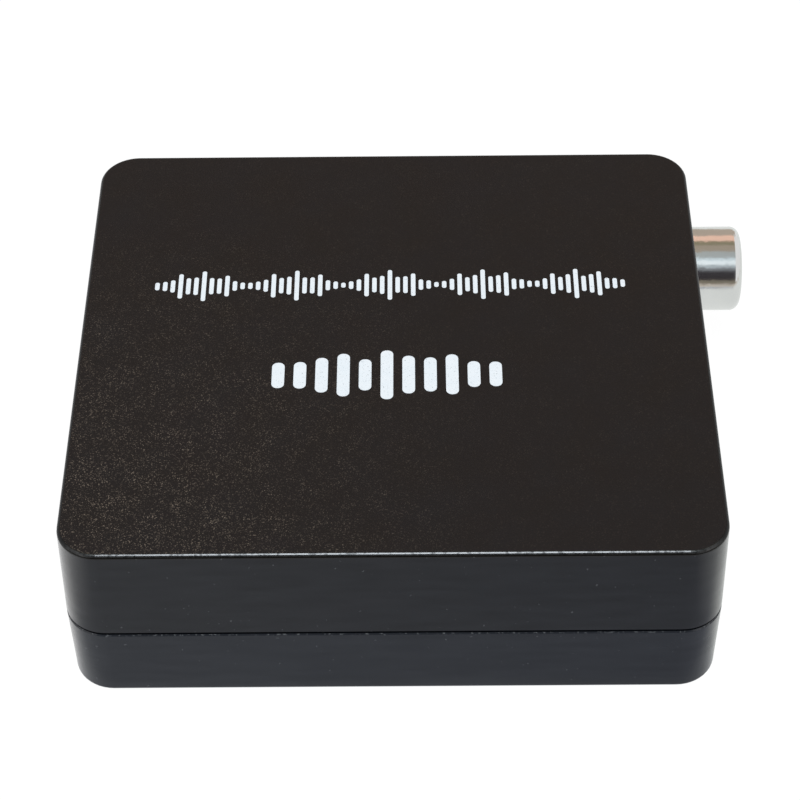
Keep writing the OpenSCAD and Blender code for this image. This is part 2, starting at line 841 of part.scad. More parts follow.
module power_in_shell() {
    color("silver")
        at_side(-1, power_y)
            socket_shell(power_w, power_h, power_l, power_bevel);
}

module power_in_insulator() {
    color([0.08, 0.08, 0.08])
        at_side(-1, power_y)
            difference() {
                socket_block(power_w, power_h, power_l, power_bevel, power_block_l, power_tongue_w,
                    power_tongue_t, power_tongue_in,
                    socket_rise + power_tongue_z_share * power_h - power_tongue_t / 2);
                power_contact_row();
            }
}

module power_in_contacts() {
    color("gold")
        at_side(-1, power_y)
            power_contact_row();
}

// Optical socket: its shutter swings in and up on two pins under the roof

module optical_pegs(grow) {
    for (side = [-1, 1])
        translate([-mouth_in - optical_cavity_l / 2, side * optical_w / 4, -board_t - leg_out])
            cylinder(r = optical_peg_r + grow, h = board_t + leg_out + optical_wall / 2 + grow);
}

module emitter_legs(top_z, grow) {
    x = -mouth_in - optical_l + optical_pocket_l / 2;
    for (i = [-1 : 1])
        translate([x, i * emitter_pitch, 0])
            box(-lead_w(grow), lead_w(grow), 2 * lead_w(grow), -board_t - leg_out, top_z);
}

// Half width of a square wire leg, grown by the given gap
function lead_w(grow) = lamp_lead_w / 2 + grow;

module optical_out_housing() {
    back = -mouth_in - optical_l;
    cavity_back = -mouth_in - optical_cavity_l;
    middle_z = optical_mouth_z + optical_mouth / 2;
    color([0.1, 0.1, 0.11])
        at_side(1, optical_y)
            difference() {
                union() {
                    box(back, -mouth_in, optical_w, 0, optical_h);
                    optical_pegs(0);
                }
                along(-mouth_in - optical_rim - cut_run, -mouth_in + cut_run)
                    polygon([
                        [-optical_mouth / 2, optical_mouth_z],
                        [optical_mouth / 2, optical_mouth_z],
                        [optical_mouth / 2, optical_mouth_z + optical_mouth - optical_bevel],
                        [optical_mouth / 2 - optical_bevel, optical_mouth_z + optical_mouth],
                        [-optical_mouth / 2 + optical_bevel, optical_mouth_z + optical_mouth],
                        [-optical_mouth / 2, optical_mouth_z + optical_mouth - optical_bevel]
                    ]);
                box(cavity_back, -mouth_in - optical_rim, optical_cavity_w,
                    optical_wall, optical_wall + optical_cavity_h);
                bar(optical_light_r, cavity_back - optical_wall - cut_run, cavity_back + cut_run, middle_z);
                box(back - cut_run, back + optical_pocket_l, optical_pocket_w,
                    -cut_run, middle_z + optical_pocket_w / 2);
                translate([shutter_x, -optical_w / 2 - cut_run, shutter_z])
                    rotate([-90, 0, 0])
                        cylinder(r = shutter_pin_r + pin_play, h = optical_w + 2 * cut_run);
            }
}

module optical_out_shutter() {
    color([0.16, 0.16, 0.17])
        at_side(1, optical_y)
            translate([shutter_x, 0, shutter_z]) {
                rotate([90, 0, 0])
                    cylinder(r = shutter_pin_r, h = optical_cavity_w + 2 * shutter_pin_l, center = true);
                rotate([90, 0, 0])
                    cylinder(r = shutter_t / 2, h = shutter_w, center = true);
                box(-shutter_t / 2, shutter_t / 2, shutter_w, -shutter_drop, 0);
            }
}

module optical_out_emitter() {
    back = -mouth_in - optical_l;
    middle_z = optical_mouth_z + optical_mouth / 2;
    half = optical_pocket_w / 2 - fit_gap;
    color([0.25, 0.2, 0.22])
        at_side(1, optical_y) {
            box(back + fit_gap, back + optical_pocket_l - fit_gap, 2 * half, middle_z - half, middle_z + half);
            bar(emitter_lens_r, back + optical_pocket_l - 2 * fit_gap,
                back + optical_pocket_l + optical_wall - fit_gap, middle_z);
        }
}

module optical_out_pins() {
    color("silver")
        at_side(1, optical_y)
            emitter_legs(optical_mouth_z + optical_mouth / 2 - optical_pocket_w / 2 + fit_gap, 0);
}

// Coaxial socket

module coax_pegs(grow) {
    for (side = [-1, 1])
        translate([-coax_front - coax_l / 4, side * coax_w / 3, -board_t - leg_out])
            cylinder(r = coax_peg_r + grow, h = board_t + leg_out + coax_peg_r + grow);
}

// Leg of the middle contact and leg of the ground strap
module coax_legs(top_z, grow) {
    tail_x = -coax_back + coax_pocket_l / 2;
    box(tail_x - strap_t / 2 - grow, tail_x + strap_t / 2 + grow, coax_tail_w + 2 * grow,
        -board_t - leg_out, top_z);
    box(-coax_back - strap_t - grow, -coax_back + grow, strap_w / 2 + 2 * grow, -board_t - leg_out, top_z);
}

module coax_out_block() {
    color([0.09, 0.09, 0.1])
        at_side(1, coax_y)
            difference() {
                union() {
                    box(-coax_back, -coax_front, coax_w, 0, coax_h);
                    coax_pegs(0);
                }
                bar(coax_seat_r, -coax_front - coax_seat_l, -coax_front + cut_run, coax_rise);
                bar(coax_tube_r + pin_play, -coax_back - cut_run, -coax_front + cut_run, coax_rise);
                box(-coax_back - cut_run, -coax_back + coax_pocket_l, 2 * coax_pocket_w,
                    -cut_run, coax_rise + coax_pocket_w);
            }
}

module coax_out_sleeve() {
    inner = sleeve_r - sleeve_t;
    tail_r = sleeve_r - sleeve_step;
    back = -coax_front - coax_seat_l + fit_gap;
    step = sleeve_step_out - back;
    length = sleeve_out - back;
    color([0.85, 0.85, 0.84])
        at_side(1, coax_y)
            translate([back, 0, coax_rise])
                rotate([0, 90, 0])
                    rotate_extrude()
                        polygon(concat(
                            [[inner, 0], [tail_r, 0], [tail_r, step], [sleeve_r, step]],
                            [for (i = [0 : coax_lip_steps]) lip_point(coax_lip_r, i, length)],
                            [for (i = [coax_lip_steps : -1 : 0]) lip_point(coax_curl_r, i, length)]
                        ));
}

// Point i of the sleeve's curled end, on the arc of the given radius
function lip_point(r, i, length) =
    let (turn = 90 * i / coax_lip_steps)
    [sleeve_r - coax_lip_r + r * cos(turn), length - coax_lip_r + r * sin(turn)];

module coax_out_insulator() {
    face = sleeve_out - coax_face_in;
    back = -coax_front - coax_seat_l + fit_gap;
    color([0.85, 0.45, 0.1])
        at_side(1, coax_y)
            difference() {
                bar(sleeve_r - sleeve_t - pin_play, back, face, coax_rise);
                bar(coax_bore_r + pin_play, face - coax_mouth_in, face + cut_run, coax_rise);
                bar(coax_tube_r + pin_play, back - cut_run, face - coax_mouth_in, coax_rise);
            }
}

module coax_out_centre_contact() {
    front = sleeve_out - coax_face_in - coax_mouth_in - fit_gap;
    back = -coax_back + coax_pocket_l / 2;
    color("gold")
        at_side(1, coax_y)
            difference() {
                union() {
                    bar(coax_tube_r, back, front, coax_rise);
                    box(back - strap_t / 2, back + strap_t / 2, coax_tail_w, -board_t - leg_out, coax_rise);
                }
                bar(coax_bore_r, back + strap_t, front + cut_run, coax_rise);
            }
}

module coax_out_ground_strap() {
    front = -inside;
    color("silver")
        at_side(1, coax_y) {
            difference() {
                box(-coax_front, front, strap_plate_w, coax_rise + strap_foot_share * coax_seat_r,
                    coax_h + strap_t);
                bar(coax_seat_r, -coax_front - cut_run, front + cut_run, coax_rise);
            }
            box(-coax_back - strap_t, front, strap_w, coax_h, coax_h + strap_t);
            box(-coax_back - strap_t, -coax_back, strap_w, 0, coax_h + strap_t);
            box(-coax_back - strap_t, -coax_back, strap_w / 2, -board_t - leg_out, strap_t);
        }
}

// Headphone socket

module phone_legs(top_z, grow) {
    for (at = phone_contact_at_shares)
        translate([-inside - at[0] * phone_l, at[1] * (phone_w / 2 - phone_contact_t), 0])
            box(-leg_w / 2 - grow, leg_w / 2 + grow, phone_contact_t + 2 * grow, -board_t - leg_out, top_z);
}

module phone_springs(grow) {
    for (at = phone_contact_at_shares)
        translate([-inside - at[0] * phone_l, at[1] * (phone_w / 2 - phone_contact_t), 0])
            box(-phone_leg_w / 2 - grow, phone_leg_w / 2 + grow, phone_contact_t + 2 * grow,
                phone_contact_t - grow, phone_contact_h_share * phone_h + grow);
    phone_legs(2 * phone_contact_t, grow);
}

module phones_out_block() {
    color([0.08, 0.08, 0.09])
        at_side(-1, phone_y)
            difference() {
                union() {
                    box(-inside - phone_l, -inside, phone_w, 0, phone_h);
                    bar(phone_nose_r, -inside, -fit_gap, phone_rise);
                }
                bar(phone_bore_r, -phone_depth, cut_run, phone_rise);
                phone_springs(pin_play);
            }
}

module phones_out_contacts() {
    color("silver")
        at_side(-1, phone_y)
            phone_springs(0);
}

// Mode switch: the knob slides along the far face and stops at three places

// Middle of the knob over the board
knob_z = switch_knob_z_share * switch_h;
// Front and back of the space inside the frame
switch_front = -inside - metal_t;
switch_back = -inside - switch_l;

module switch_legs(top_z, grow) {
    for (side = [-1, 1])
        translate([0, side * (switch_w / 2 - metal_t / 2), 0])
            box(-inside - switch_l / 2 - leg_w / 2 - grow, -inside - switch_l / 2 + leg_w / 2 + grow,
                metal_t + 2 * grow, -board_t - leg_out, top_z);
    for (i = [0 : switch_pin_n - 1])
        translate([0, (i - (switch_pin_n - 1) / 2) * switch_step, 0])
            box(switch_back - metal_t - leg_w - grow, switch_back - leg_w + grow,
                leg_w + 2 * grow, -board_t - leg_out, top_z);
}

module mode_switch_frame() {
    color("silver")
        at_far(switch_x)
            difference() {
                union() {
                    box(switch_back, -inside, switch_w, 0, switch_h);
                    for (side = [-1, 1])
                        translate([0, side * (switch_w / 2 - metal_t / 2), 0])
                            box(-inside - switch_l / 2 - leg_w / 2, -inside - switch_l / 2 + leg_w / 2,
                                metal_t, -board_t - leg_out, metal_t);
                }
                box(switch_back - cut_run, switch_front, switch_w - 2 * metal_t, metal_t, switch_h - metal_t);
                box(switch_front - cut_run, -inside + cut_run, knob_w + 2 * (switch_travel + move_gap),
                    knob_z - knob_w / 2 - move_gap, knob_z + knob_w / 2 + move_gap);
            }
}

module switch_terminals() {
    for (i = [0 : switch_pin_n - 1])
        translate([0, (i - (switch_pin_n - 1) / 2) * switch_step, 0]) {
            box(switch_back - metal_t - leg_w, switch_back + switch_base_t, leg_w,
                switch_h / 2, switch_h / 2 + metal_t);
            box(switch_back - metal_t - leg_w, switch_back - leg_w, leg_w,
                -board_t - leg_out, switch_h / 2 + metal_t);
        }
}

module mode_switch_base() {
    color([0.45, 0.3, 0.18])
        at_far(switch_x)
            difference() {
                box(switch_back, switch_back + switch_base_t, switch_w - 2 * metal_t - fit_gap,
                    metal_t + fit_gap / 2, switch_h - metal_t - fit_gap / 2);
                switch_terminals();
            }
}

module mode_switch_pins() {
    color("silver")
        at_far(switch_x)
            switch_terminals();
}

module mode_switch_knob() {
    front = switch_front - fit_gap;
    color([0.07, 0.07, 0.08])
        at_far(switch_x) {
            box(front - carriage_l, front, carriage_w, metal_t + fit_gap, metal_t + fit_gap + carriage_h);
            box(front - carriage_l / 2, knob_out, knob_w, knob_z - knob_w / 2, knob_z + knob_w / 2);
        }
}

module mode_switch_wiper() {
    back = switch_front - fit_gap - carriage_l;
    color("gold")
        at_far(switch_x) {
            box(back - wiper_t, back, wiper_w, switch_h / 4, switch_h / 2 + metal_t);
            for (side = [-1, 1])
                translate([0, side * (wiper_w - wiper_t) / 2, 0])
                    box(switch_back + switch_base_t + fit_gap, back, wiper_t,
                        switch_h / 2, switch_h / 2 + metal_t);
        }
}

// Power lamp

module lamp_legs(top_z, grow) {
    for (side = [-1, 1])
        translate([lamp_lead_x, side * lamp_lead_pitch / 2, 0])
            box(-lead_w(grow), lead_w(grow), 2 * lead_w(grow), -board_t - leg_out, top_z);
}

module power_lamp() {
    flange_front = lamp_out - lamp_l;
    color([0.75, 0.2, 0.2])
        at_far(lamp_x) {
            bar(lamp_r, flange_front, lamp_out - lamp_r, lamp_rise);
            translate([lamp_out - lamp_r, 0, lamp_rise])
                sphere(r = lamp_r);
            bar(lamp_flange_r, flange_front - lamp_flange_l, flange_front, lamp_rise);
        }
}

module power_lamp_leads() {
    color("silver")
        at_far(lamp_x) {
            lamp_legs(lamp_rise + lead_w(0), 0);
            for (side = [-1, 1])
                translate([0, side * lamp_lead_pitch / 2, 0])
                    box(lamp_lead_x - lead_w(0), lamp_out - lamp_l - lamp_flange_l, 2 * lead_w(0),
                        lamp_rise - lead_w(0), lamp_rise + lead_w(0));
        }
}

// Chips and small parts on the board

module video_chip() {
    color([0.12, 0.12, 0.12])
        on_board(video_chip_at)
            chip_body(video_chip_w, video_chip_w, video_chip_h);
}

module video_chip_leads() {
    color("silver")
        on_board(video_chip_at)
            for (turn = [0, 90])
                rotate([0, 0, turn])
                    lead_rows(video_chip_w / 2, video_lead_n, video_lead_pitch, video_lead_w,
                        chip_rise + video_chip_h / 2, video_lead_reach);
}

module audio_chip() {
    color([0.12, 0.12, 0.12])
        on_board(audio_chip_at)
            chip_body(audio_chip_w, audio_chip_d, audio_chip_h);
}

module audio_chip_leads() {
    color("silver")
        on_board(audio_chip_at)
            lead_rows(audio_chip_w / 2, audio_lead_n, audio_lead_pitch, audio_lead_w,
                chip_rise + audio_chip_h / 2, audio_lead_reach);
}

module control_chip() {
    color([0.12, 0.12, 0.12])
        on_board(control_chip_at)
            chip_body(control_chip_w, control_chip_d, control_chip_h);
}

module control_chip_leads() {
    color("silver")
        on_board(control_chip_at)
            lead_rows(control_chip_w / 2, control_lead_n, control_lead_pitch, control_lead_w,
                chip_rise + control_chip_h / 2, control_lead_reach);
}

module memory_chip() {
    color([0.12, 0.12, 0.12])
        on_board(memory_chip_at)
            chip_body(memory_chip_w, memory_chip_d, memory_chip_h);
}

module memory_chip_leads() {
    color("silver")
        on_board(memory_chip_at)
            lead_rows(memory_chip_w / 2, memory_lead_n, memory_lead_pitch, memory_lead_w,
                chip_rise + memory_chip_h / 2, memory_lead_reach);
}

module voltage_regulators() {
    color([0.12, 0.12, 0.12])
        for (at = regulators_at)
            on_board(at)
                chip_body(regulator_w, regulator_d, regulator_h);
}

module regulator_leads() {
    color("silver")
        for (at = regulators_at)
            on_board(at) {
                for (i = [-1 : 1])
                    translate([0, i * regulator_lead_pitch, 0])
                        strip(regulator_lead_w)
                            polygon(gull_side(regulator_w / 2, chip_rise + lead_t, regulator_lead_reach));
                rotate([0, 0, 180])
                    strip(regulator_tab_w)
                        polygon(gull_side(regulator_w / 2, chip_rise + lead_t, regulator_lead_reach));
            }
}

module crystal_can() {
    color("silver")
        on_board(crystal_at)
            translate([0, 0, lead_t]) {
                round_block(crystal_l, crystal_w, crystal_w / 2 - crystal_base_h, crystal_base_h);
                round_block(crystal_l - 2 * crystal_base_h, crystal_w - 2 * crystal_base_h,
                    crystal_w / 2 - 2 * crystal_base_h, crystal_h - lead_t);
            }
}

module crystal_leads() {
    color("silver")
        on_board(crystal_at)
            for (side = [-1, 1])
                translate([side * crystal_l / 2, 0, 0])
                    translate([-crystal_base_h, -crystal_base_h / 2, 0])
                        cube([2 * crystal_base_h, crystal_base_h, lead_t]);
}

module capacitor_cans() {
    color([0.75, 0.75, 0.77])
        for (at = cans_at)
            on_board(at)
                translate([0, 0, can_base_h])
                    difference() {
                        cylinder(r = can_r, h = can_h);
                        translate([0, 0, can_groove_z])
                            rotate_extrude()
                                translate([can_r + can_groove / 2, 0])
                                    circle(r = can_groove);
                    }
}

module capacitor_bases() {
    color([0.08, 0.08, 0.08])
        for (at = cans_at)
            on_board(at)
                round_block(can_base_w, can_base_w, can_base_h, can_base_h);
}

module power_inductor() {
    color([0.2, 0.2, 0.21])
        on_board(inductor_at)
            difference() {
                cylinder(r = inductor_w / 2, h = inductor_h);
                translate([0, 0, inductor_h / 4])
                    difference() {
                        cylinder(r = inductor_w, h = inductor_h / 2);
                        translate([0, 0, -cut_run])
                            cylinder(r = inductor_w / 2 - inductor_waist, h = inductor_h + 2 * cut_run);
                    }
            }
}

module surge_arrays() {
    color([0.12, 0.12, 0.12])
        for (at = arrays_at)
            on_board(at)
                translate([-array_w / 2, -array_d / 2, 0])
                    cube([array_w, array_d, array_h]);
}

module chip_resistors() {
    color([0.1, 0.1, 0.1]) {
        on_board(left_resistors_at)
            part_row(6, resistor_h, 0);
        on_board(right_resistors_at)
            part_row(6, resistor_h, 0);
        on_board(middle_resistors_at)
            part_row(4, resistor_h, 0);
    }
}

module chip_capacitors() {
    color([0.6, 0.48, 0.35])
        on_board(capacitors_at)
            part_row(capacitor_n, ceramic_h, 90);
}

upper_shell();
lower_shell();
case_screws();
circuit_board();
video_shell(-1, video_in_y);  // video_in_shell
video_insulator(-1, video_in_y);  // video_in_insulator
video_contacts(-1, video_in_y);  // video_in_contacts
video_shell(1, video_out_y);  // video_out_shell
video_insulator(1, video_out_y);  // video_out_insulator
video_contacts(1, video_out_y);  // video_out_contacts
power_in_shell();
power_in_insulator();
power_in_contacts();
optical_out_housing();
optical_out_shutter();
optical_out_emitter();
optical_out_pins();
coax_out_block();
coax_out_sleeve();
coax_out_insulator();
coax_out_centre_contact();
coax_out_ground_strap();
phones_out_block();
phones_out_contacts();
mode_switch_frame();
mode_switch_base();
mode_switch_knob();
mode_switch_wiper();
mode_switch_pins();
power_lamp();
power_lamp_leads();
video_chip();
video_chip_leads();
audio_chip();
audio_chip_leads();
control_chip();
control_chip_leads();
memory_chip();
memory_chip_leads();
voltage_regulators();
regulator_leads();
crystal_can();
crystal_leads();
capacitor_cans();
capacitor_bases();
power_inductor();
surge_arrays();
chip_resistors();
chip_capacitors();
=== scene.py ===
# %% [markdown]
# A small box that takes the sound out of a picture-and-sound cable, dressed for a photograph.
# The solids come from a finished CAD model: two black mouldings, sockets on both ends, a switch and
# a lamp at the back, and a board full of parts inside. Here they get their finishes, the printing
# that a CAD model leaves out, and a small white studio that shows them as a product photograph does.

# %% Load the frame
import json
import math

import bmesh
import bpy
from mathutils import Matrix, Vector


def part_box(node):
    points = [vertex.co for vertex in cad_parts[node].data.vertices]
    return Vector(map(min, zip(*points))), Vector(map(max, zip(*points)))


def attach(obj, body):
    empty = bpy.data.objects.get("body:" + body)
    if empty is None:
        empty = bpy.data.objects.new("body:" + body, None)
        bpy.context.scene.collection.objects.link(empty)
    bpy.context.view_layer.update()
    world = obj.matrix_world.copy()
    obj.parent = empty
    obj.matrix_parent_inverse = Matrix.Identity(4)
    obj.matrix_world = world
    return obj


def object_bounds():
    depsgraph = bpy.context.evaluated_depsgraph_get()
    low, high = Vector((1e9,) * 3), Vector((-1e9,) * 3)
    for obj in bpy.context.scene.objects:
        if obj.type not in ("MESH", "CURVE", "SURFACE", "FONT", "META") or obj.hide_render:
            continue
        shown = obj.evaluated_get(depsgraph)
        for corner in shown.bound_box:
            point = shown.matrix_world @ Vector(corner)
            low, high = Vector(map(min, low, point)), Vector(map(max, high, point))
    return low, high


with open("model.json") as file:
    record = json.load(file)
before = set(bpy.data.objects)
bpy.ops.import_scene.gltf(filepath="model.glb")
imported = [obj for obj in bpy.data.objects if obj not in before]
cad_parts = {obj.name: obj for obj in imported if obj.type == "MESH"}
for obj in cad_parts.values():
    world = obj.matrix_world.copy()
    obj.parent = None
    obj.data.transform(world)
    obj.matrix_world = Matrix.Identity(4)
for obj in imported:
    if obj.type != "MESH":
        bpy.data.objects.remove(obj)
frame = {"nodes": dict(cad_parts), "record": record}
cad_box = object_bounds()
MM = 0.001
corners_mm = [[round(value / MM, 2) for value in corner] for corner in cad_box]
print("nodes:", len(frame["nodes"]), "box:", corners_mm)

# %% [markdown]
# Blender's start-up file may hold a cube, a lamp and a camera of its own. None of them belongs to
# the model, so the first step clears them away and leaves only what the frame brought in.

# %% Clear the start-up objects
for name in ("Cube", "Light", "Camera"):
    if name in bpy.data.objects:
        bpy.data.objects.remove(bpy.data.objects[name])

# %% [markdown]
# The camera comes before everything else, because each finish is judged through it. It stands in
# front of the near side, looks down at about 45 degrees and is rolled by less than a degree. A long
# lens from a quarter of a metre gives the photograph's mild perspective: the far edge of the top is
# seven eighths as wide as the near one. The camera's place is worked out from three angles, one
# distance and a small offset to the side and up.

# %% Camera
CAMERA_DISTANCE = 239.82 * MM
CAMERA_PITCH = math.radians(45.452)
CAMERA_YAW = math.radians(-0.488)
CAMERA_ROLL = math.radians(0.761)
CAMERA_SHIFT_RIGHT = 0.566 * MM
CAMERA_SHIFT_UP = 7.095 * MM
CAMERA_LENS = 110.92

level = Vector((1, 0, 0))
ahead = Vector((0, math.cos(CAMERA_PITCH), -math.sin(CAMERA_PITCH)))
above = level.cross(ahead)
right = level * math.cos(CAMERA_ROLL) - above * math.sin(CAMERA_ROLL)
up = level * math.sin(CAMERA_ROLL) + above * math.cos(CAMERA_ROLL)
turn = Matrix.Rotation(-CAMERA_YAW, 3, "Z")
place = turn @ (level * CAMERA_SHIFT_RIGHT + above * CAMERA_SHIFT_UP - ahead * CAMERA_DISTANCE)

camera_data = bpy.data.cameras.new("camera")
camera_data.lens = CAMERA_LENS
camera_data.clip_start = 0.01
camera = bpy.data.objects.new("camera", camera_data)
axes = Matrix((turn @ right, turn @ up, turn @ -ahead)).transposed()
camera.matrix_world = Matrix.Translation(place) @ axes.to_4x4()
bpy.context.scene.collection.objects.link(camera)
bpy.context.scene.camera = camera
bpy.context.scene.view_settings.view_transform = "Standard"
print("camera at", [round(value / MM, 1) for value in place], "mm")

# %% [markdown]
# Every finish below is a small tree of shader nodes. Written out by hand, such a tree is long and
# hard to read, so two helpers stand between the script and the nodes. A Wire is a socket that takes
# Python's own signs: writing `1 - mask * 2` adds the Math nodes that work it out. A Finish is one
# material, and its node() is the only way in: it makes a node, sets its settings, then its sockets.

# %% Wires and finishes
class Wire:
    """A shader socket that takes Python's sums, each of which adds its Math node."""

    def __init__(self, finish, socket):
        self.finish = finish
        self.socket = socket

    def maths(self, operation, *values):
        return self.finish.node("ShaderNodeMath", {"operation": operation}, dict(enumerate(values)))

    def __add__(self, other):
        return self.maths("ADD", self, other)

    def __sub__(self, other):
        return self.maths("SUBTRACT", self, other)

    def __rsub__(self, other):
        return self.maths("SUBTRACT", other, self)

    def __mul__(self, other):
        return self.maths("MULTIPLY", self, other)

    def __gt__(self, other):
        return self.maths("GREATER_THAN", self, other)

    def __lt__(self, other):
        return self.maths("LESS_THAN", self, other)

    __radd__ = __add__
    __rmul__ = __mul__


class Finish:
    """One procedural material around a Principled shader."""

    def __init__(self, name, **constants):
        self.material = bpy.data.materials.new(name)
        self.material.use_nodes = True
        self.tree = self.material.node_tree
        self.tree.nodes.clear()
        self.shader = self.tree.nodes.new("ShaderNodeBsdfPrincipled")
        self.output = self.tree.nodes.new("ShaderNodeOutputMaterial")
        self.tree.links.new(self.shader.outputs[0], self.output.inputs["Surface"])
        for label, value in constants.items():
            self.feed(self.shader.inputs[label.replace("_", " ")], value)

    def feed(self, socket, value):
        if isinstance(value, Wire):
            self.tree.links.new(value.socket, socket)
        elif socket.type == "RGBA" and len(value) == 3:
            socket.default_value = (*value, 1)
        else:
            socket.default_value = value

    def node(self, kind, settings=None, inputs=None, output=0):
        made = self.tree.nodes.new(kind)
        for label, value in (settings or {}).items():
            if label == "stops":
                self.set_stops(made.color_ramp, value)
            else:
                setattr(made, label, value)
        for label, value in (inputs or {}).items():
            self.feed(made.inputs[label], value)
        return Wire(self, made.outputs[output])

    def set_stops(self, ramp, stops):
        while len(ramp.elements) < len(stops):
            ramp.elements.new(1)
        for element, (position, shade) in zip(ramp.elements, stops):
            element.position = position
            element.color = (shade, shade, shade, 1)

    def use(self, **wires):
        for label, value in wires.items():
            self.feed(self.shader.inputs[label.replace("_", " ")], value)
        return self


print("helpers ready")

# %% [markdown]
# Patterns are laid out in millimetres on the object itself, so that they stay put when a piece
# moves. Object coordinates give metres from the model's origin, and one Mapping node turns them
# into millimetres. Noise, its ramp and the bump that follows are then short calls.

# %% Patterns
TO_MM = (1000, 1000, 1000)


def place_mm(finish, stretch=(1, 1, 1)):
    """Where on the object a point lies, in millimetres, stretched along an axis if asked."""
    seat = finish.node("ShaderNodeTexCoord", output="Object")
    scale = [unit * share for unit, share in zip(TO_MM, stretch)]
    return finish.node("ShaderNodeMapping", inputs={"Vector": seat, "Scale": scale})


def grain(finish, where, size_mm, detail=2, roughness=0.5):
    """Noise from 0 to 1 whose lumps are about so many millimetres across."""
    values = {"Vector": where, "Scale": 1 / size_mm, "Detail": detail, "Roughness": roughness}
    return finish.node("ShaderNodeTexNoise", inputs=values)


def ramp(finish, value, *stops):
    """A value passed through a curve of (position, brightness) stops."""
    return finish.node("ShaderNodeValToRGB", {"stops": stops}, {"Fac": value})


def blend(finish, mask, first, second):
    """One colour where the mask is 0 and the other where it is 1."""
    return finish.node("ShaderNodeMix", {"data_type": "RGBA"}, {0: mask, 6: first, 7: second}, output=2)


def relief(finish, height, depth_mm):
    """Normals bent by a height from 0 to 1 that stands so many millimetres tall."""
    values = {"Height": height, "Distance": depth_mm * MM, "Strength": 1.0}
    return finish.node("ShaderNodeBump", inputs=values)


print("one millimetre is", MM, "Blender units")

# %% [markdown]
# The case is two mouldings of black plastic that meet at a narrow dark gap. A moulding looks
# different from place to place: grained on top, rounded and shiny at the edge under a painted shade,
# smooth on the walls, with a painted highlight at the rim. Nothing has to be painted by hand, because
# the height of a point tells which place it belongs to. These are the heights, with two helpers that
# turn a height into a mask.

# %% Places on the case
TOP_Z_MM = cad_box[1][2] / MM
NEAR_Y_MM = cad_box[0][1] / MM
EDGE_TOP_MM = TOP_Z_MM - 0.012
EDGE_LIT_MM = TOP_Z_MM - 0.2
EDGE_FOOT_MM = TOP_Z_MM - 0.32
PARTING_MM = 8.0
SEAM_MM = 0.25
LIP_MM = 0.11
LIP_TOP_MM = PARTING_MM + SEAM_MM / 2 + LIP_MM
RIM_MM = 0.12
UPPER_RIM_MM = PARTING_MM + SEAM_MM / 2 + RIM_MM
LOWER_RIM_MM = PARTING_MM - SEAM_MM / 2


def axis(finish, where, letter):
    """One coordinate of a place, in millimetres."""
    return finish.node("ShaderNodeSeparateXYZ", inputs={"Vector": where}, output=letter)


def slope(finish, value, start, end):
    """A value that climbs from 0 at the start to 1 at the end and stays there."""
    values = {0: value, 1: start, 2: end, 3: 0.0, 4: 1.0}
    return finish.node("ShaderNodeMapRange", {"clamp": True}, values)


print("top at", round(TOP_Z_MM, 2), "mm, parting line at", PARTING_MM, "mm")

# %% [markdown]
# Small bright marks make a black surface believable. Glints where the grain of the top catches light
# are painted into its colour as light specks, which come in clusters and are thickest at the near
# left corner. Along the thin rims where the two shells meet, a painted highlight is broken into
# patches like wear, and a few grains of dust sit on the walls. Each kind is a fine noise cut by a
# ramp, so that only its peaks are left, times a mask of the place where it belongs.

# %% Painted glints, painted rim highlight and dust
GLINT_MM = 0.11
CLUSTER_MM = 1.6
GLINTS_FROM_LEFT_MM = (6, -24)
GLINTS_FROM_NEAR_MM = (16, -22)
GLINTS_EVERYWHERE = 0.08
RIM_PATCH_MM = 0.2
RIM_PATCH_STRETCH = (0.7, 0.7, 1)
RIM_FULL_MM = 0.03
RIM_CLEAR_MM = 0.01
DUST_MM = 0.4


def painted_glints(finish, where):
    """Painted glints of the top's grain, light specks thickest towards its near left corner."""
    left = slope(finish, axis(finish, where, "X"), *GLINTS_FROM_LEFT_MM)
    near = slope(finish, axis(finish, where, "Y"), *GLINTS_FROM_NEAR_MM)
    clusters = ramp(finish, grain(finish, where, CLUSTER_MM, detail=3), (0.36, 0.3), (0.66, 1))
    catching = (GLINTS_EVERYWHERE + left * near * (1 - GLINTS_EVERYWHERE)) * clusters
    return ramp(finish, grain(finish, where, GLINT_MM, detail=1), (0.58, 0), (0.8, 1)) * catching


def rim_highlight(finish, height, rim_top):
    """A painted highlight, broken into patches like wear, on the last tenth of a millimetre below a
    shell's rim.
    """
    rim = slope(finish, height, rim_top - RIM_MM, rim_top - RIM_FULL_MM)
    patches = grain(finish, place_mm(finish, RIM_PATCH_STRETCH), RIM_PATCH_MM, detail=3)
    patchy = ramp(finish, patches, (0.54, 0), (0.64, 1))
    return rim * (height < rim_top - RIM_CLEAR_MM) * patchy


def dust(finish, where, height):
    """Single grains of dust on the walls, half hidden in the gloss."""
    grains = ramp(finish, grain(finish, where, DUST_MM, detail=1), (0.74, 0), (0.78, 0.5))
    return grains * (height < EDGE_FOOT_MM)


print("specks, scuffs and dust ready")

# %% [markdown]
# The mould of the top face was spark-eroded, which leaves a matt grain. The walls are smoother,
# because a mould has to slide off them: a glossy coat that wanders a little in strength lets them
# mirror the room. Handling has polished the rounded edge round the top. Along the near side its
# grain stands up in shiny beads, which mirror the lamp as a broken bright line. The rounded edge and
# the lip over the parting line get a painted shade, nearly black, and the lower shell is a shade lighter.

# %% Case plastic
FINE_MM = 0.17
COARSE_MM = 0.6
CLOUD_MM = 18
BEAD_MM = 0.32
STREAK_MM = 0.7
STREAK_STRETCH = (0.15, 0.15, 1)
WALL_GLOSS = 0.55
WALL_GLOSS_SWING = 0.34
EDGE_GLOSS = 0.1
BEAD_GLOSS = 1.5
LIT_EDGE_WIDTH_MM = 2
CASE_GRAIN_DEPTH_MM = 0.012
# Painted shade, nearly black, on the rounded edge and on the lip over the parting line.
PAINTED_EDGE_SHADE = (0.0016, 0.0016, 0.0018)
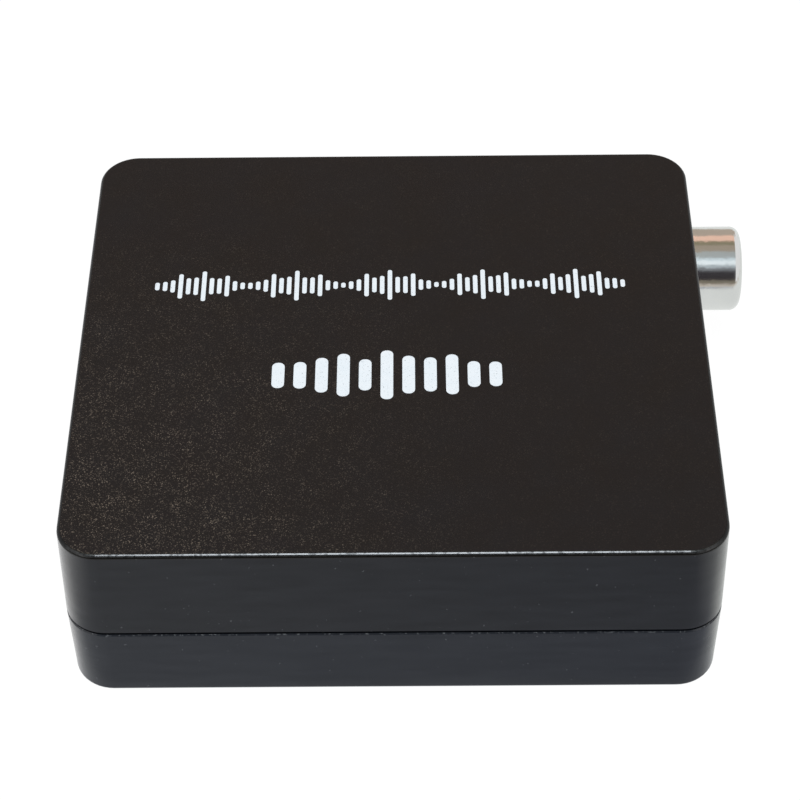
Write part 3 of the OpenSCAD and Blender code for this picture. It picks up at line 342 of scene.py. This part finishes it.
# Colour of the painted glints on the top's grain.
PAINTED_GLINT_COLOUR = (0.34, 0.27, 0.205)
# Colour of the painted highlight along the rims, and of the dust on the walls.
RIM_HIGHLIGHT_AND_DUST_COLOUR = (0.13, 0.135, 0.14)


def edge_gloss(finish, where, height, on_edge):
    """The shiny beads on the lit part of the rounded edge, along the near side only."""
    near = slope(finish, axis(finish, where, "Y"), NEAR_Y_MM + LIT_EDGE_WIDTH_MM, NEAR_Y_MM)
    beads = ramp(finish, grain(finish, where, BEAD_MM), (0.36, 0.3), (0.52, 1))
    return on_edge * (height > EDGE_LIT_MM) * near * (EDGE_GLOSS + beads * BEAD_GLOSS)


def case_plastic(name, side_colour, face_colour, side_roughness, face_roughness, rim_top):
    """One shell's plastic: grained on its face, glossy on its walls, painted shade on its edge and lip, a
    painted highlight at its rim.
    """
    finish = Finish(name, Specular_IOR_Level=0.2, Specular_Tint=(0.96, 0.97, 0.98), Coat_Roughness=0.16)
    where = place_mm(finish)
    height = axis(finish, where, "Z")
    on_face = height > EDGE_TOP_MM
    on_edge = (height > EDGE_FOOT_MM) * (height < EDGE_TOP_MM)
    on_lip = (height > PARTING_MM) * (height < LIP_TOP_MM)
    fine = grain(finish, where, FINE_MM, detail=3, roughness=0.65)
    coarse = grain(finish, where, COARSE_MM)
    cloud = grain(finish, where, CLOUD_MM)
    streaks = grain(finish, place_mm(finish, STREAK_STRETCH), STREAK_MM, detail=3)

    plain = blend(finish, on_face, side_colour, face_colour)
    mottled = blend(finish, coarse * 0.5, plain, [shade * 1.5 for shade in face_colour])
    paler = [shade * 2.2 for shade in side_colour]
    clouded = blend(finish, cloud * 0.3 + streaks * 0.5, mottled, paler)
    # Painted shade: the rounded edge and the lip over the parting line are coloured nearly black.
    shaded = blend(finish, on_edge + on_lip, clouded, PAINTED_EDGE_SHADE)
    # Painted glints: light specks on the top's grain stand in for the light it catches.
    bright = blend(finish, painted_glints(finish, where) * on_face, shaded, PAINTED_GLINT_COLOUR)
    # Painted highlight along the rim, broken into patches like wear, and grains of dust on the walls.
    rim_highlight_and_dust = rim_highlight(finish, height, rim_top) + dust(finish, where, height)
    finish.use(Base_Color=blend(finish, rim_highlight_and_dust, bright, RIM_HIGHLIGHT_AND_DUST_COLOUR))

    side_rough = side_roughness + (cloud - 0.5) * 0.1
    face_rough = face_roughness + (fine - 0.5) * 0.2
    finish.use(Roughness=side_rough + on_face * (face_rough - side_rough))
    wall_gloss = WALL_GLOSS + (streaks - 0.5) * WALL_GLOSS_SWING
    wall = (height < EDGE_FOOT_MM) * (1 - on_lip) * wall_gloss
    finish.use(Coat_Weight=wall + edge_gloss(finish, where, height, on_edge))
    depth = 0.25 + on_face * 0.75 + on_edge * 1.3
    return finish.use(Normal=relief(finish, fine * depth, CASE_GRAIN_DEPTH_MM))


UPPER_SIDE = (0.0032, 0.0036, 0.005)
UPPER_FACE = (0.0066, 0.0042, 0.0027)
LOWER_SIDE = (0.0054, 0.0064, 0.0094)
finishes = {
    "case_plastic_upper": case_plastic("upper_plastic", UPPER_SIDE, UPPER_FACE, 0.25, 0.52, UPPER_RIM_MM),
    "case_plastic_lower": case_plastic("lower_plastic", LOWER_SIDE, LOWER_SIDE, 0.26, 0.4, LOWER_RIM_MM),
}
print("case plastics:", list(finishes))

# %% [markdown]
# The other plastics are small mouldings: socket blocks, the shutter, the switch's knob and the
# chips' epoxy. They share one recipe, a dark or coloured body with a faint mottling, a roughness
# that wanders a little, and a shallow grain. Only the numbers differ, so a table holds them: the
# colour, the roughness, then the grain's size and its depth in millimetres.

# %% Small mouldings
def moulding(name, colour, roughness, grain_mm, depth_mm):
    """A small plastic or ceramic part, with a slow mottling twelve times as wide as its grain."""
    finish = Finish(name, Specular_IOR_Level=0.4)
    where = place_mm(finish)
    mottle = grain(finish, where, grain_mm * 12, detail=3)
    fine = grain(finish, where, grain_mm, detail=3, roughness=0.6)
    lighter = [min(1, shade * 1.35 + 0.004) for shade in colour]
    finish.use(Base_Color=blend(finish, mottle, colour, lighter))
    finish.use(Roughness=roughness + (mottle - 0.5) * 0.18)
    return finish.use(Normal=relief(finish, fine, depth_mm))


MOULDINGS = {
    "socket_plastic": ((0.017, 0.017, 0.018), 0.42, 0.1, 0.006),
    "shutter_plastic": ((0.024, 0.024, 0.026), 0.36, 0.12, 0.006),
    "knob_plastic": ((0.016, 0.016, 0.016), 0.45, 0.1, 0.008),
    "coax_plastic": ((0.72, 0.27, 0.025), 0.38, 0.12, 0.005),
    "switch_laminate": ((0.17, 0.08, 0.032), 0.62, 0.2, 0.01),
    "chip_epoxy": ((0.017, 0.017, 0.018), 0.6, 0.07, 0.01),
    "capacitor_base": ((0.017, 0.017, 0.017), 0.5, 0.1, 0.006),
    "inductor_ferrite": ((0.045, 0.045, 0.05), 0.7, 0.09, 0.012),
    "resistor_ceramic": ((0.026, 0.026, 0.03), 0.3, 0.1, 0.004),
    "capacitor_ceramic": ((0.34, 0.21, 0.11), 0.6, 0.09, 0.008),
}
for slot, values in MOULDINGS.items():
    finishes[slot] = moulding(slot + "_finish", *values)
print("mouldings:", len(MOULDINGS))

# %% [markdown]
# Metals differ by how they were worked. Tinned sheet and drawn cans keep faint lines along the
# direction in which they were rolled, plating on a turned sleeve is nearly a mirror, and the
# screws are blackened. A noise stretched along one axis gives the lines, and it drives both the
# roughness and a very shallow bump. The table holds the colour, the roughness, then the size and
# the depth of the lines in millimetres, and for the sleeve a softer stretch.

# %% Metals
def metal(name, colour, roughness, streak_mm, depth_mm, stretch=(0.08, 1, 1)):
    """A worked metal, with lines drawn out along X and a few slightly duller patches."""
    finish = Finish(name, Metallic=1.0)
    streaks = grain(finish, place_mm(finish, stretch), streak_mm, detail=3, roughness=0.6)
    stain = grain(finish, place_mm(finish), 3.5, detail=3)
    dull = [shade * 0.86 for shade in colour]
    finish.use(Base_Color=blend(finish, stain, colour, dull))
    finish.use(Roughness=roughness + (streaks - 0.5) * roughness * 0.7 + stain * 0.04)
    return finish.use(Normal=relief(finish, streaks, depth_mm))


METALS = {
    "socket_tin": ((0.62, 0.62, 0.6), 0.28, 0.09, 0.002),
    "tinned_legs": ((0.66, 0.66, 0.64), 0.32, 0.12, 0.002),
    "contact_gold": ((0.86, 0.62, 0.25), 0.24, 0.1, 0.001),
    "sleeve_chrome": ((0.73, 0.735, 0.73), 0.14, 1.4, 0.035, (1, 0.7, 0.7)),
    "screw_steel": ((0.055, 0.055, 0.058), 0.4, 0.1, 0.003),
    "crystal_can": ((0.62, 0.62, 0.61), 0.3, 0.14, 0.002),
    "capacitor_can": ((0.74, 0.74, 0.75), 0.34, 0.1, 0.002),
}
for slot, values in METALS.items():
    finishes[slot] = metal(slot + "_finish", *values)
print("metals:", len(METALS))

# %% [markdown]
# The lamp and the light source of the optical socket are cast in resin. A real one is clear or
# milky and lets light pass, which a little transmission and a smooth coat show. The resin is
# tinted, and its cloudiness changes slowly through the body.

# %% Resins
def resin(name, colour, clearness):
    """A cast resin that lets some light through and is a little milky in places."""
    finish = Finish(name, Transmission_Weight=clearness, IOR=1.53, Coat_Weight=0.4, Coat_Roughness=0.06)
    milk = grain(finish, place_mm(finish), 2.4, detail=3)
    pale = [shade * 0.8 + 0.04 for shade in colour]
    finish.use(Base_Color=blend(finish, milk * 0.5, colour, pale))
    return finish.use(Roughness=0.16 + milk * 0.12)


finishes["lamp_resin"] = resin("lamp_resin_finish", (0.75, 0.03, 0.02), 0.25)
finishes["emitter_resin"] = resin("emitter_resin_finish", (0.08, 0.035, 0.04), 0.3)
print("finishes so far:", len(finishes))

# %% [markdown]
# The board is glass cloth under a green solder mask. Copper tracks show through the mask as a
# slightly lighter and raised pattern. The cells of a Voronoi pattern, with the gaps between them
# left dark, look like pours of copper, and the bare edges of the board show the yellow laminate.

# %% Board
BOARD_TOP_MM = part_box("circuit_board")[1][2] / MM
BOARD_FOOT_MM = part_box("circuit_board")[0][2] / MM
MASK_SKIN_MM = 0.06
TRACKS_PER_MM = 0.45
WEAVE_MM = 0.25
LAMINATE = (0.32, 0.27, 0.12)
MASK_OVER_GLASS = (0.006, 0.06, 0.026)
MASK_OVER_COPPER = (0.012, 0.115, 0.05)


def board():
    finish = Finish("board_finish", Coat_Weight=0.5, Coat_Roughness=0.15, Specular_IOR_Level=0.45)
    where = place_mm(finish)
    height = axis(finish, where, "Z")
    masked = (height > BOARD_TOP_MM - MASK_SKIN_MM) + (height < BOARD_FOOT_MM + MASK_SKIN_MM)
    flat = {"Vector": place_mm(finish, (1, 1, 0)), "Scale": TRACKS_PER_MM, "Randomness": 0.75}
    gap = finish.node("ShaderNodeTexVoronoi", {"feature": "DISTANCE_TO_EDGE"}, flat)
    copper = ramp(finish, gap, (0.05, 0), (0.07, 1))
    weave = grain(finish, where, WEAVE_MM)
    mask = blend(finish, copper, MASK_OVER_GLASS, MASK_OVER_COPPER)
    finish.use(Base_Color=blend(finish, masked, LAMINATE, mask))
    finish.use(Roughness=0.3 + weave * 0.12)
    return finish.use(Normal=relief(finish, copper + weave * 0.15, 0.03))


finishes["board_laminate"] = board()
print("board top at", round(BOARD_TOP_MM, 2), "mm")

# %% [markdown]
# Each CAD solid arrives with one material slot, named after the record's slot. The shape of every
# one of them is right, so the solids stay as they are, and only the material in the slot changes.

# %% Dress the CAD solids
slot_of = {row["node"]: row["material_slot"] for row in frame["record"]["subparts"]}
for node, solid in frame["nodes"].items():
    solid.material_slots[0].material = finishes[slot_of[node]].material
print("dressed", len(slot_of), "solids in", len(finishes), "finishes")

# %% [markdown]
# The printing on the top is pad-printed white ink, a few hundredths of a millimetre thick, in two
# rows of rounded bars like those of a sound-level display. Every bar is a thin slab with round
# corners: a grid square is stretched, its corners are bevelled, and the face is raised off the
# plastic by the thickness of the ink.

# %% Printed marks
INK_MM = 0.02
CORNER_SEGMENTS = 5


def slab(mesh, middle, size, corner, base, height):
    """Adds a flat slab with rounded corners to a bmesh, all in millimetres."""
    made = bmesh.ops.create_grid(mesh, x_segments=1, y_segments=1, size=0.5)["verts"]
    shape = Matrix.Translation((*middle, base)) @ Matrix.Diagonal((*size, 1, 1))
    bmesh.ops.transform(mesh, matrix=shape, verts=made)
    rounded = bmesh.ops.bevel(mesh, geom=made, offset=corner, affect="VERTICES", offset_type="OFFSET",
                              segments=CORNER_SEGMENTS, profile=0.5, material=-1)
    faces = list({face for vert in rounded["verts"] for face in vert.link_faces})
    raised = bmesh.ops.extrude_face_region(mesh, geom=faces, use_keep_orig=True)["geom"]
    lifted = [item for item in raised if isinstance(item, bmesh.types.BMVert)]
    bmesh.ops.translate(mesh, vec=(0, 0, height), verts=lifted)


def finish_piece(name, mesh, finish):
    """Turns a bmesh drawn in millimetres into a piece on the root body, placed in its mesh."""
    bmesh.ops.recalc_face_normals(mesh, faces=mesh.faces)
    bmesh.ops.transform(mesh, matrix=Matrix.Scale(MM, 4), verts=mesh.verts)
    data = bpy.data.meshes.new(name)
    mesh.to_mesh(data)
    mesh.free()
    piece = bpy.data.objects.new(name, data)
    piece.data.materials.append(finish.material)
    bpy.context.scene.collection.objects.link(piece)
    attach(piece, "root")
    print(name, "faces:", len(data.polygons))


# %% [markdown]
# Ink is not quite even. It is thinnest at the rim of a mark and where the grain of the plastic
# stands up, so tiny dark pits show through the white, and its colour leans towards blue.

# %% Ink finish
INK_WHITE = (0.93, 0.96, 0.98)
INK_BLUISH = (0.84, 0.9, 0.94)
PIT_GREY = (0.22, 0.24, 0.26)
PIT_MM = 0.13
TINT_MM = 1.1
INK_GRAIN_MM = 0.16
INK_GRAIN_DEPTH_MM = 0.004


def ink():
    finish = Finish("print_ink", Specular_IOR_Level=0.3)
    where = place_mm(finish)
    pits = ramp(finish, grain(finish, where, PIT_MM), (0.27, 1), (0.36, 0))
    tint = grain(finish, where, TINT_MM)
    white = blend(finish, tint, INK_WHITE, INK_BLUISH)
    finish.use(Base_Color=blend(finish, pits, white, PIT_GREY))
    finish.use(Roughness=0.5 + tint * 0.1)
    rise = grain(finish, where, INK_GRAIN_MM, detail=3)
    return finish.use(Normal=relief(finish, rise, INK_GRAIN_DEPTH_MM))


ink_finish = ink()
print("ink is", INK_MM, "mm thick")

# %% [markdown]
# Both rows are made-up bursts of sound. The long one is 44 mm wide, with 61 thin bars whose heights
# swell and fall five times. The block nearer to the camera is 21 mm wide and 6.5 mm tall, with 11
# broad bars in one swell. A sine gives the swell, and a quicker cosine the beat on it.

# %% Print on the top
BLOCK_X = (-11.0, 9.9)
BLOCK_Y = (-7.95, -1.5)
BLOCK_BARS = 11
LINE_X = (-22.4, 21.8)
LINE_Y = (5.2, 9.3)
LINE_BARS = 61
FILL_SHARE = 0.58
CORNER_SHARE = 0.46
STEADY_SHARE = 0.35


def sound_bars(mesh, across, along, count, least_share, swells, beat):
    """A row of upright bars, their heights a swell with a quicker beat on it."""
    pitch = (across[1] - across[0]) / (count - 1 + FILL_SHARE)
    width = pitch * FILL_SHARE
    full = along[1] - along[0]
    for index in range(count):
        swell = abs(math.sin(math.pi * swells * (index + 0.5) / count))
        ripple = 0.5 + 0.5 * math.cos(index * beat)
        level = swell * (STEADY_SHARE + (1 - STEADY_SHARE) * ripple)
        tall = full * (least_share + (1 - least_share) * level)
        middle = (across[0] + width / 2 + index * pitch, sum(along) / 2)
        slab(mesh, middle, (width, tall), width * CORNER_SHARE, TOP_Z_MM, INK_MM)


top_print = bmesh.new()
sound_bars(top_print, BLOCK_X, BLOCK_Y, BLOCK_BARS, least_share=0.42, swells=1, beat=2.4)
sound_bars(top_print, LINE_X, LINE_Y, LINE_BARS, least_share=0.14, swells=5, beat=2.1)
finish_piece("top_print", top_print, ink_finish)

# %% [markdown]
# A product photograph of a black box is a photograph of what the box reflects. The room is plain
# white to the camera and to every mirror-like ray, and half as bright for the light that falls on
# surfaces, so that pale pieces don't wash out.

# %% World
AMBIENT = 0.5


def seen_directly(tree):
    """A socket that is 1 on camera, glossy and transmission rays, and 0 on the rest."""
    path = tree.nodes.new("ShaderNodeLightPath")
    sums = [tree.nodes.new("ShaderNodeMath"), tree.nodes.new("ShaderNodeMath")]
    for made in sums:
        made.operation = "MAXIMUM"
    tree.links.new(path.outputs["Is Camera Ray"], sums[0].inputs[0])
    tree.links.new(path.outputs["Is Glossy Ray"], sums[0].inputs[1])
    tree.links.new(sums[0].outputs[0], sums[1].inputs[0])
    tree.links.new(path.outputs["Is Transmission Ray"], sums[1].inputs[1])
    return sums[1].outputs[0]


world = bpy.data.worlds.new("white_room")
bpy.context.scene.world = world
world.use_nodes = True
world.node_tree.nodes.clear()
seen = seen_directly(world.node_tree)
strength = world.node_tree.nodes.new("ShaderNodeMapRange")
strength.inputs["To Min"].default_value = AMBIENT
strength.inputs["To Max"].default_value = 1.0
background = world.node_tree.nodes.new("ShaderNodeBackground")
world_output = world.node_tree.nodes.new("ShaderNodeOutputWorld")
background.inputs["Color"].default_value = (1, 1, 1, 1)
world.node_tree.links.new(seen, strength.inputs["Value"])
world.node_tree.links.new(strength.outputs["Result"], background.inputs["Strength"])
world.node_tree.links.new(background.outputs[0], world_output.inputs["Surface"])
print("ambient light:", AMBIENT)

# %% [markdown]
# The box stands on a sheet of pale paper. To the camera it glows almost white, as an overexposed
# sheet does, and it takes a faint shadow. What a mirror-like ray finds there decides how the black
# walls look, and for those rays the paper's light and shade are painted into its glow. At both
# sides of the box the paper is painted fully lit, on the left a little more. In front, a painted
# shade of the box lies on its own paper, so the near wall is darker than its rounded corners.
# Farther out the paper ends on a tan table. Each border is a soft slope between two places in
# millimetres.

# %% Floor
FLOOR_HALF_WIDTH = 3.0
GREY_PAPER = (0.88, 0.88, 0.88)
SEEN_SHARE = 0.08
WHITE_GLOW = (0.97, 0.97, 0.97)
LEFT_GLOW = (0.98, 0.98, 0.98)
RIGHT_GLOW = (0.86, 0.88, 0.86)
SHADE_LEFT = (0.49, 0.51, 0.545)
SHADE_RIGHT = (0.34, 0.36, 0.41)
TAN_GLOW = (0.70, 0.62, 0.53)
FAR_GLOW = (0.44, 0.38, 0.31)
LEFT_TO_RIGHT_MM = (-30, 30)
SHADE_SIDE_MM = (48, 33)
SHADE_START_MM = (-22, -27.5)
TAN_START_MM = (-46, -64)
TABLE_DEPTH_MM = (-64, -260)

paper = Finish("floor_paper", Roughness=0.9, Specular_IOR_Level=0.0, Emission_Strength=1.0)
spot = place_mm(paper)
across = axis(paper, spot, "X")
along = axis(paper, spot, "Y")
from_middle = paper.node("ShaderNodeMath", {"operation": "ABSOLUTE"}, {0: across})
rightwards = slope(paper, across, *LEFT_TO_RIGHT_MM)
# Painted light: the paper at both sides, brighter on the left, as mirror-like rays see it.
lit_paper = blend(paper, rightwards, LEFT_GLOW, RIGHT_GLOW)
dim_paper = blend(paper, rightwards, SHADE_LEFT, SHADE_RIGHT)
# Painted shade of the box on the paper in front of it, as mirror-like rays see it.
in_front = slope(paper, from_middle, *SHADE_SIDE_MM) * slope(paper, along, *SHADE_START_MM)
shaded_paper = blend(paper, in_front, lit_paper, dim_paper)
near_table = blend(paper, slope(paper, along, *TAN_START_MM), shaded_paper, TAN_GLOW)
reflected = blend(paper, slope(paper, along, *TABLE_DEPTH_MM), near_table, FAR_GLOW)
mirrored = paper.node("ShaderNodeLightPath", output="Is Glossy Ray")
seen_paper = Wire(paper, seen_directly(paper.tree))
glow = blend(paper, mirrored, WHITE_GLOW, reflected)
paper.use(Emission_Color=blend(paper, seen_paper, (0, 0, 0), glow))
seen_grey = [shade * SEEN_SHARE for shade in GREY_PAPER]
paper.use(Base_Color=blend(paper, seen_paper, GREY_PAPER, seen_grey))

floor_mesh = bmesh.new()
bmesh.ops.create_grid(floor_mesh, x_segments=1, y_segments=1, size=FLOOR_HALF_WIDTH)
bmesh.ops.translate(floor_mesh, vec=(0, 0, cad_box[0][2]), verts=floor_mesh.verts)
floor_data = bpy.data.meshes.new("floor")
floor_mesh.to_mesh(floor_data)
floor_mesh.free()
floor = bpy.data.objects.new("floor", floor_data)
floor_data.materials.append(paper.material)
bpy.context.scene.collection.objects.link(floor)
print("floor is", 2 * FLOOR_HALF_WIDTH, "m wide")

# %% [markdown]
# One soft lamp hangs over the box, a little towards the camera. Its reflection draws the thin
# bright line along the near edge of the top, where the rounded edge turns through the lamp's angle.
# Places round the box are given as an angle from straight up, which is how a lamp on a boom is set.

# %% Overhead lamp
def stand_at(angle, distance, side=0.0):
    """A point seen from the box at this angle from straight up, leaning to the camera's side."""
    return Vector((side, -math.sin(angle) * distance, math.cos(angle) * distance))


LAMP_ANGLE = math.radians(20)
LAMP_DISTANCE = 0.8
LAMP_SIZE = (0.26, 0.37)
LAMP_POWER = 3.4
LAMP_COLOUR = (0.87, 0.94, 1.0)

lamp_data = bpy.data.lights.new("overhead_lamp", "AREA")
lamp_data.shape = "RECTANGLE"
lamp_data.size = LAMP_SIZE[0]
lamp_data.size_y = LAMP_SIZE[1]
lamp_data.energy = LAMP_POWER
lamp_data.color = LAMP_COLOUR
overhead_lamp = bpy.data.objects.new("overhead_lamp", lamp_data)
lamp_place = stand_at(LAMP_ANGLE, LAMP_DISTANCE)
overhead_lamp.matrix_world = Matrix.Translation(lamp_place) @ Matrix.Rotation(LAMP_ANGLE, 4, "X")
bpy.context.scene.collection.objects.link(overhead_lamp)
print("lamp at", [round(value, 3) for value in lamp_place])

# %% [markdown]
# Mirror-bright chrome would turn the lamp into a hard white bar, so a photographer keeps the lamp
# off it. Light linking does the same: the sleeve is left out of what the lamp lights.

# %% Lamp and sleeve
kept_off = bpy.data.collections.new("kept_off_the_lamp")
kept_off.objects.link(frame["nodes"]["coax_out_sleeve"])
overhead_lamp.light_linking.receiver_collection = kept_off
kept_off.collection_objects[0].light_linking.link_state = "EXCLUDE"

# %% [markdown]
# What chrome shows is the room, squeezed into bands: a warm wall behind, a pale ceiling, the dark
# camera, and the floor. Each band here is a strip of a wide cylinder round the box's long axis.
# Only mirror-like rays see it, so it neither lights the box nor hides anything from the camera. The
# table gives the angle at which each band ends, from straight up and towards the camera, and its
# colour. The first band starts low behind the box.

# %% Bands that the chrome reflects
BAND_DISTANCE = 1.2
BAND_HALF_LENGTH = 0.62
BAND_STEP_DEGREES = 6
BANDS_FROM = -92
BANDS = {
    "wall_low": (-54, (0.54, 0.46, 0.38)),
    "wall_salmon": (-34, (1.1, 0.72, 0.56)),
    "wall_olive": (-20, (0.3, 0.27, 0.18)),
    "wall_high": (0, (0.45, 0.38, 0.3)),
    "ceiling_dim": (18, (0.5, 0.54, 0.54)),
    "ceiling_pale": (25, (0.8, 0.93, 1.0)),
    "ceiling_lit": (37, (1.1, 1.2, 1.25)),
    "ceiling_near": (46, (0.55, 0.62, 0.66)),
    "camera_hood": (54, (0.24, 0.25, 0.27)),
    "camera_body": (80, (0.045, 0.04, 0.045)),
    "front_low": (91, (0.25, 0.22, 0.17)),
}


def glowing_strip(name, mesh, colour):
    """Turns a bmesh into a strip that only mirror-like rays see; it is no part of the object."""
    data = bpy.data.meshes.new(name)
    mesh.to_mesh(data)
    mesh.free()
    strip = bpy.data.objects.new(name, data)
    lit = Finish(name + "_glow", Base_Color=(0, 0, 0), Roughness=1.0, Specular_IOR_Level=0.0)
    lit.use(Emission_Color=colour, Emission_Strength=1.0)
    data.materials.append(lit.material)
    strip.visible_camera = False
    strip.visible_diffuse = False
    strip.visible_shadow = False
    bpy.context.scene.collection.objects.link(strip)


def band(name, start, end, colour):
    """A strip of a cylinder round the box's long axis, between two angles from straight up."""
    mesh = bmesh.new()
    start_angle = math.radians(start)
    corners = [stand_at(start_angle, BAND_DISTANCE, side * BAND_HALF_LENGTH) for side in (-1, 1)]
    edge = [mesh.verts.new(corner) for corner in corners]
    line = mesh.edges.new(edge)
    steps = math.ceil((end - start) / BAND_STEP_DEGREES)
    bmesh.ops.spin(mesh, geom=[*edge, line], cent=(0, 0, 0), axis=(1, 0, 0),
                   angle=math.radians(end - start), steps=steps)
    glowing_strip(name, mesh, colour)


start = BANDS_FROM
for name, (end, colour) in BANDS.items():
    band(name, start, end, colour)
    start = end
print("bands:", len(BANDS))
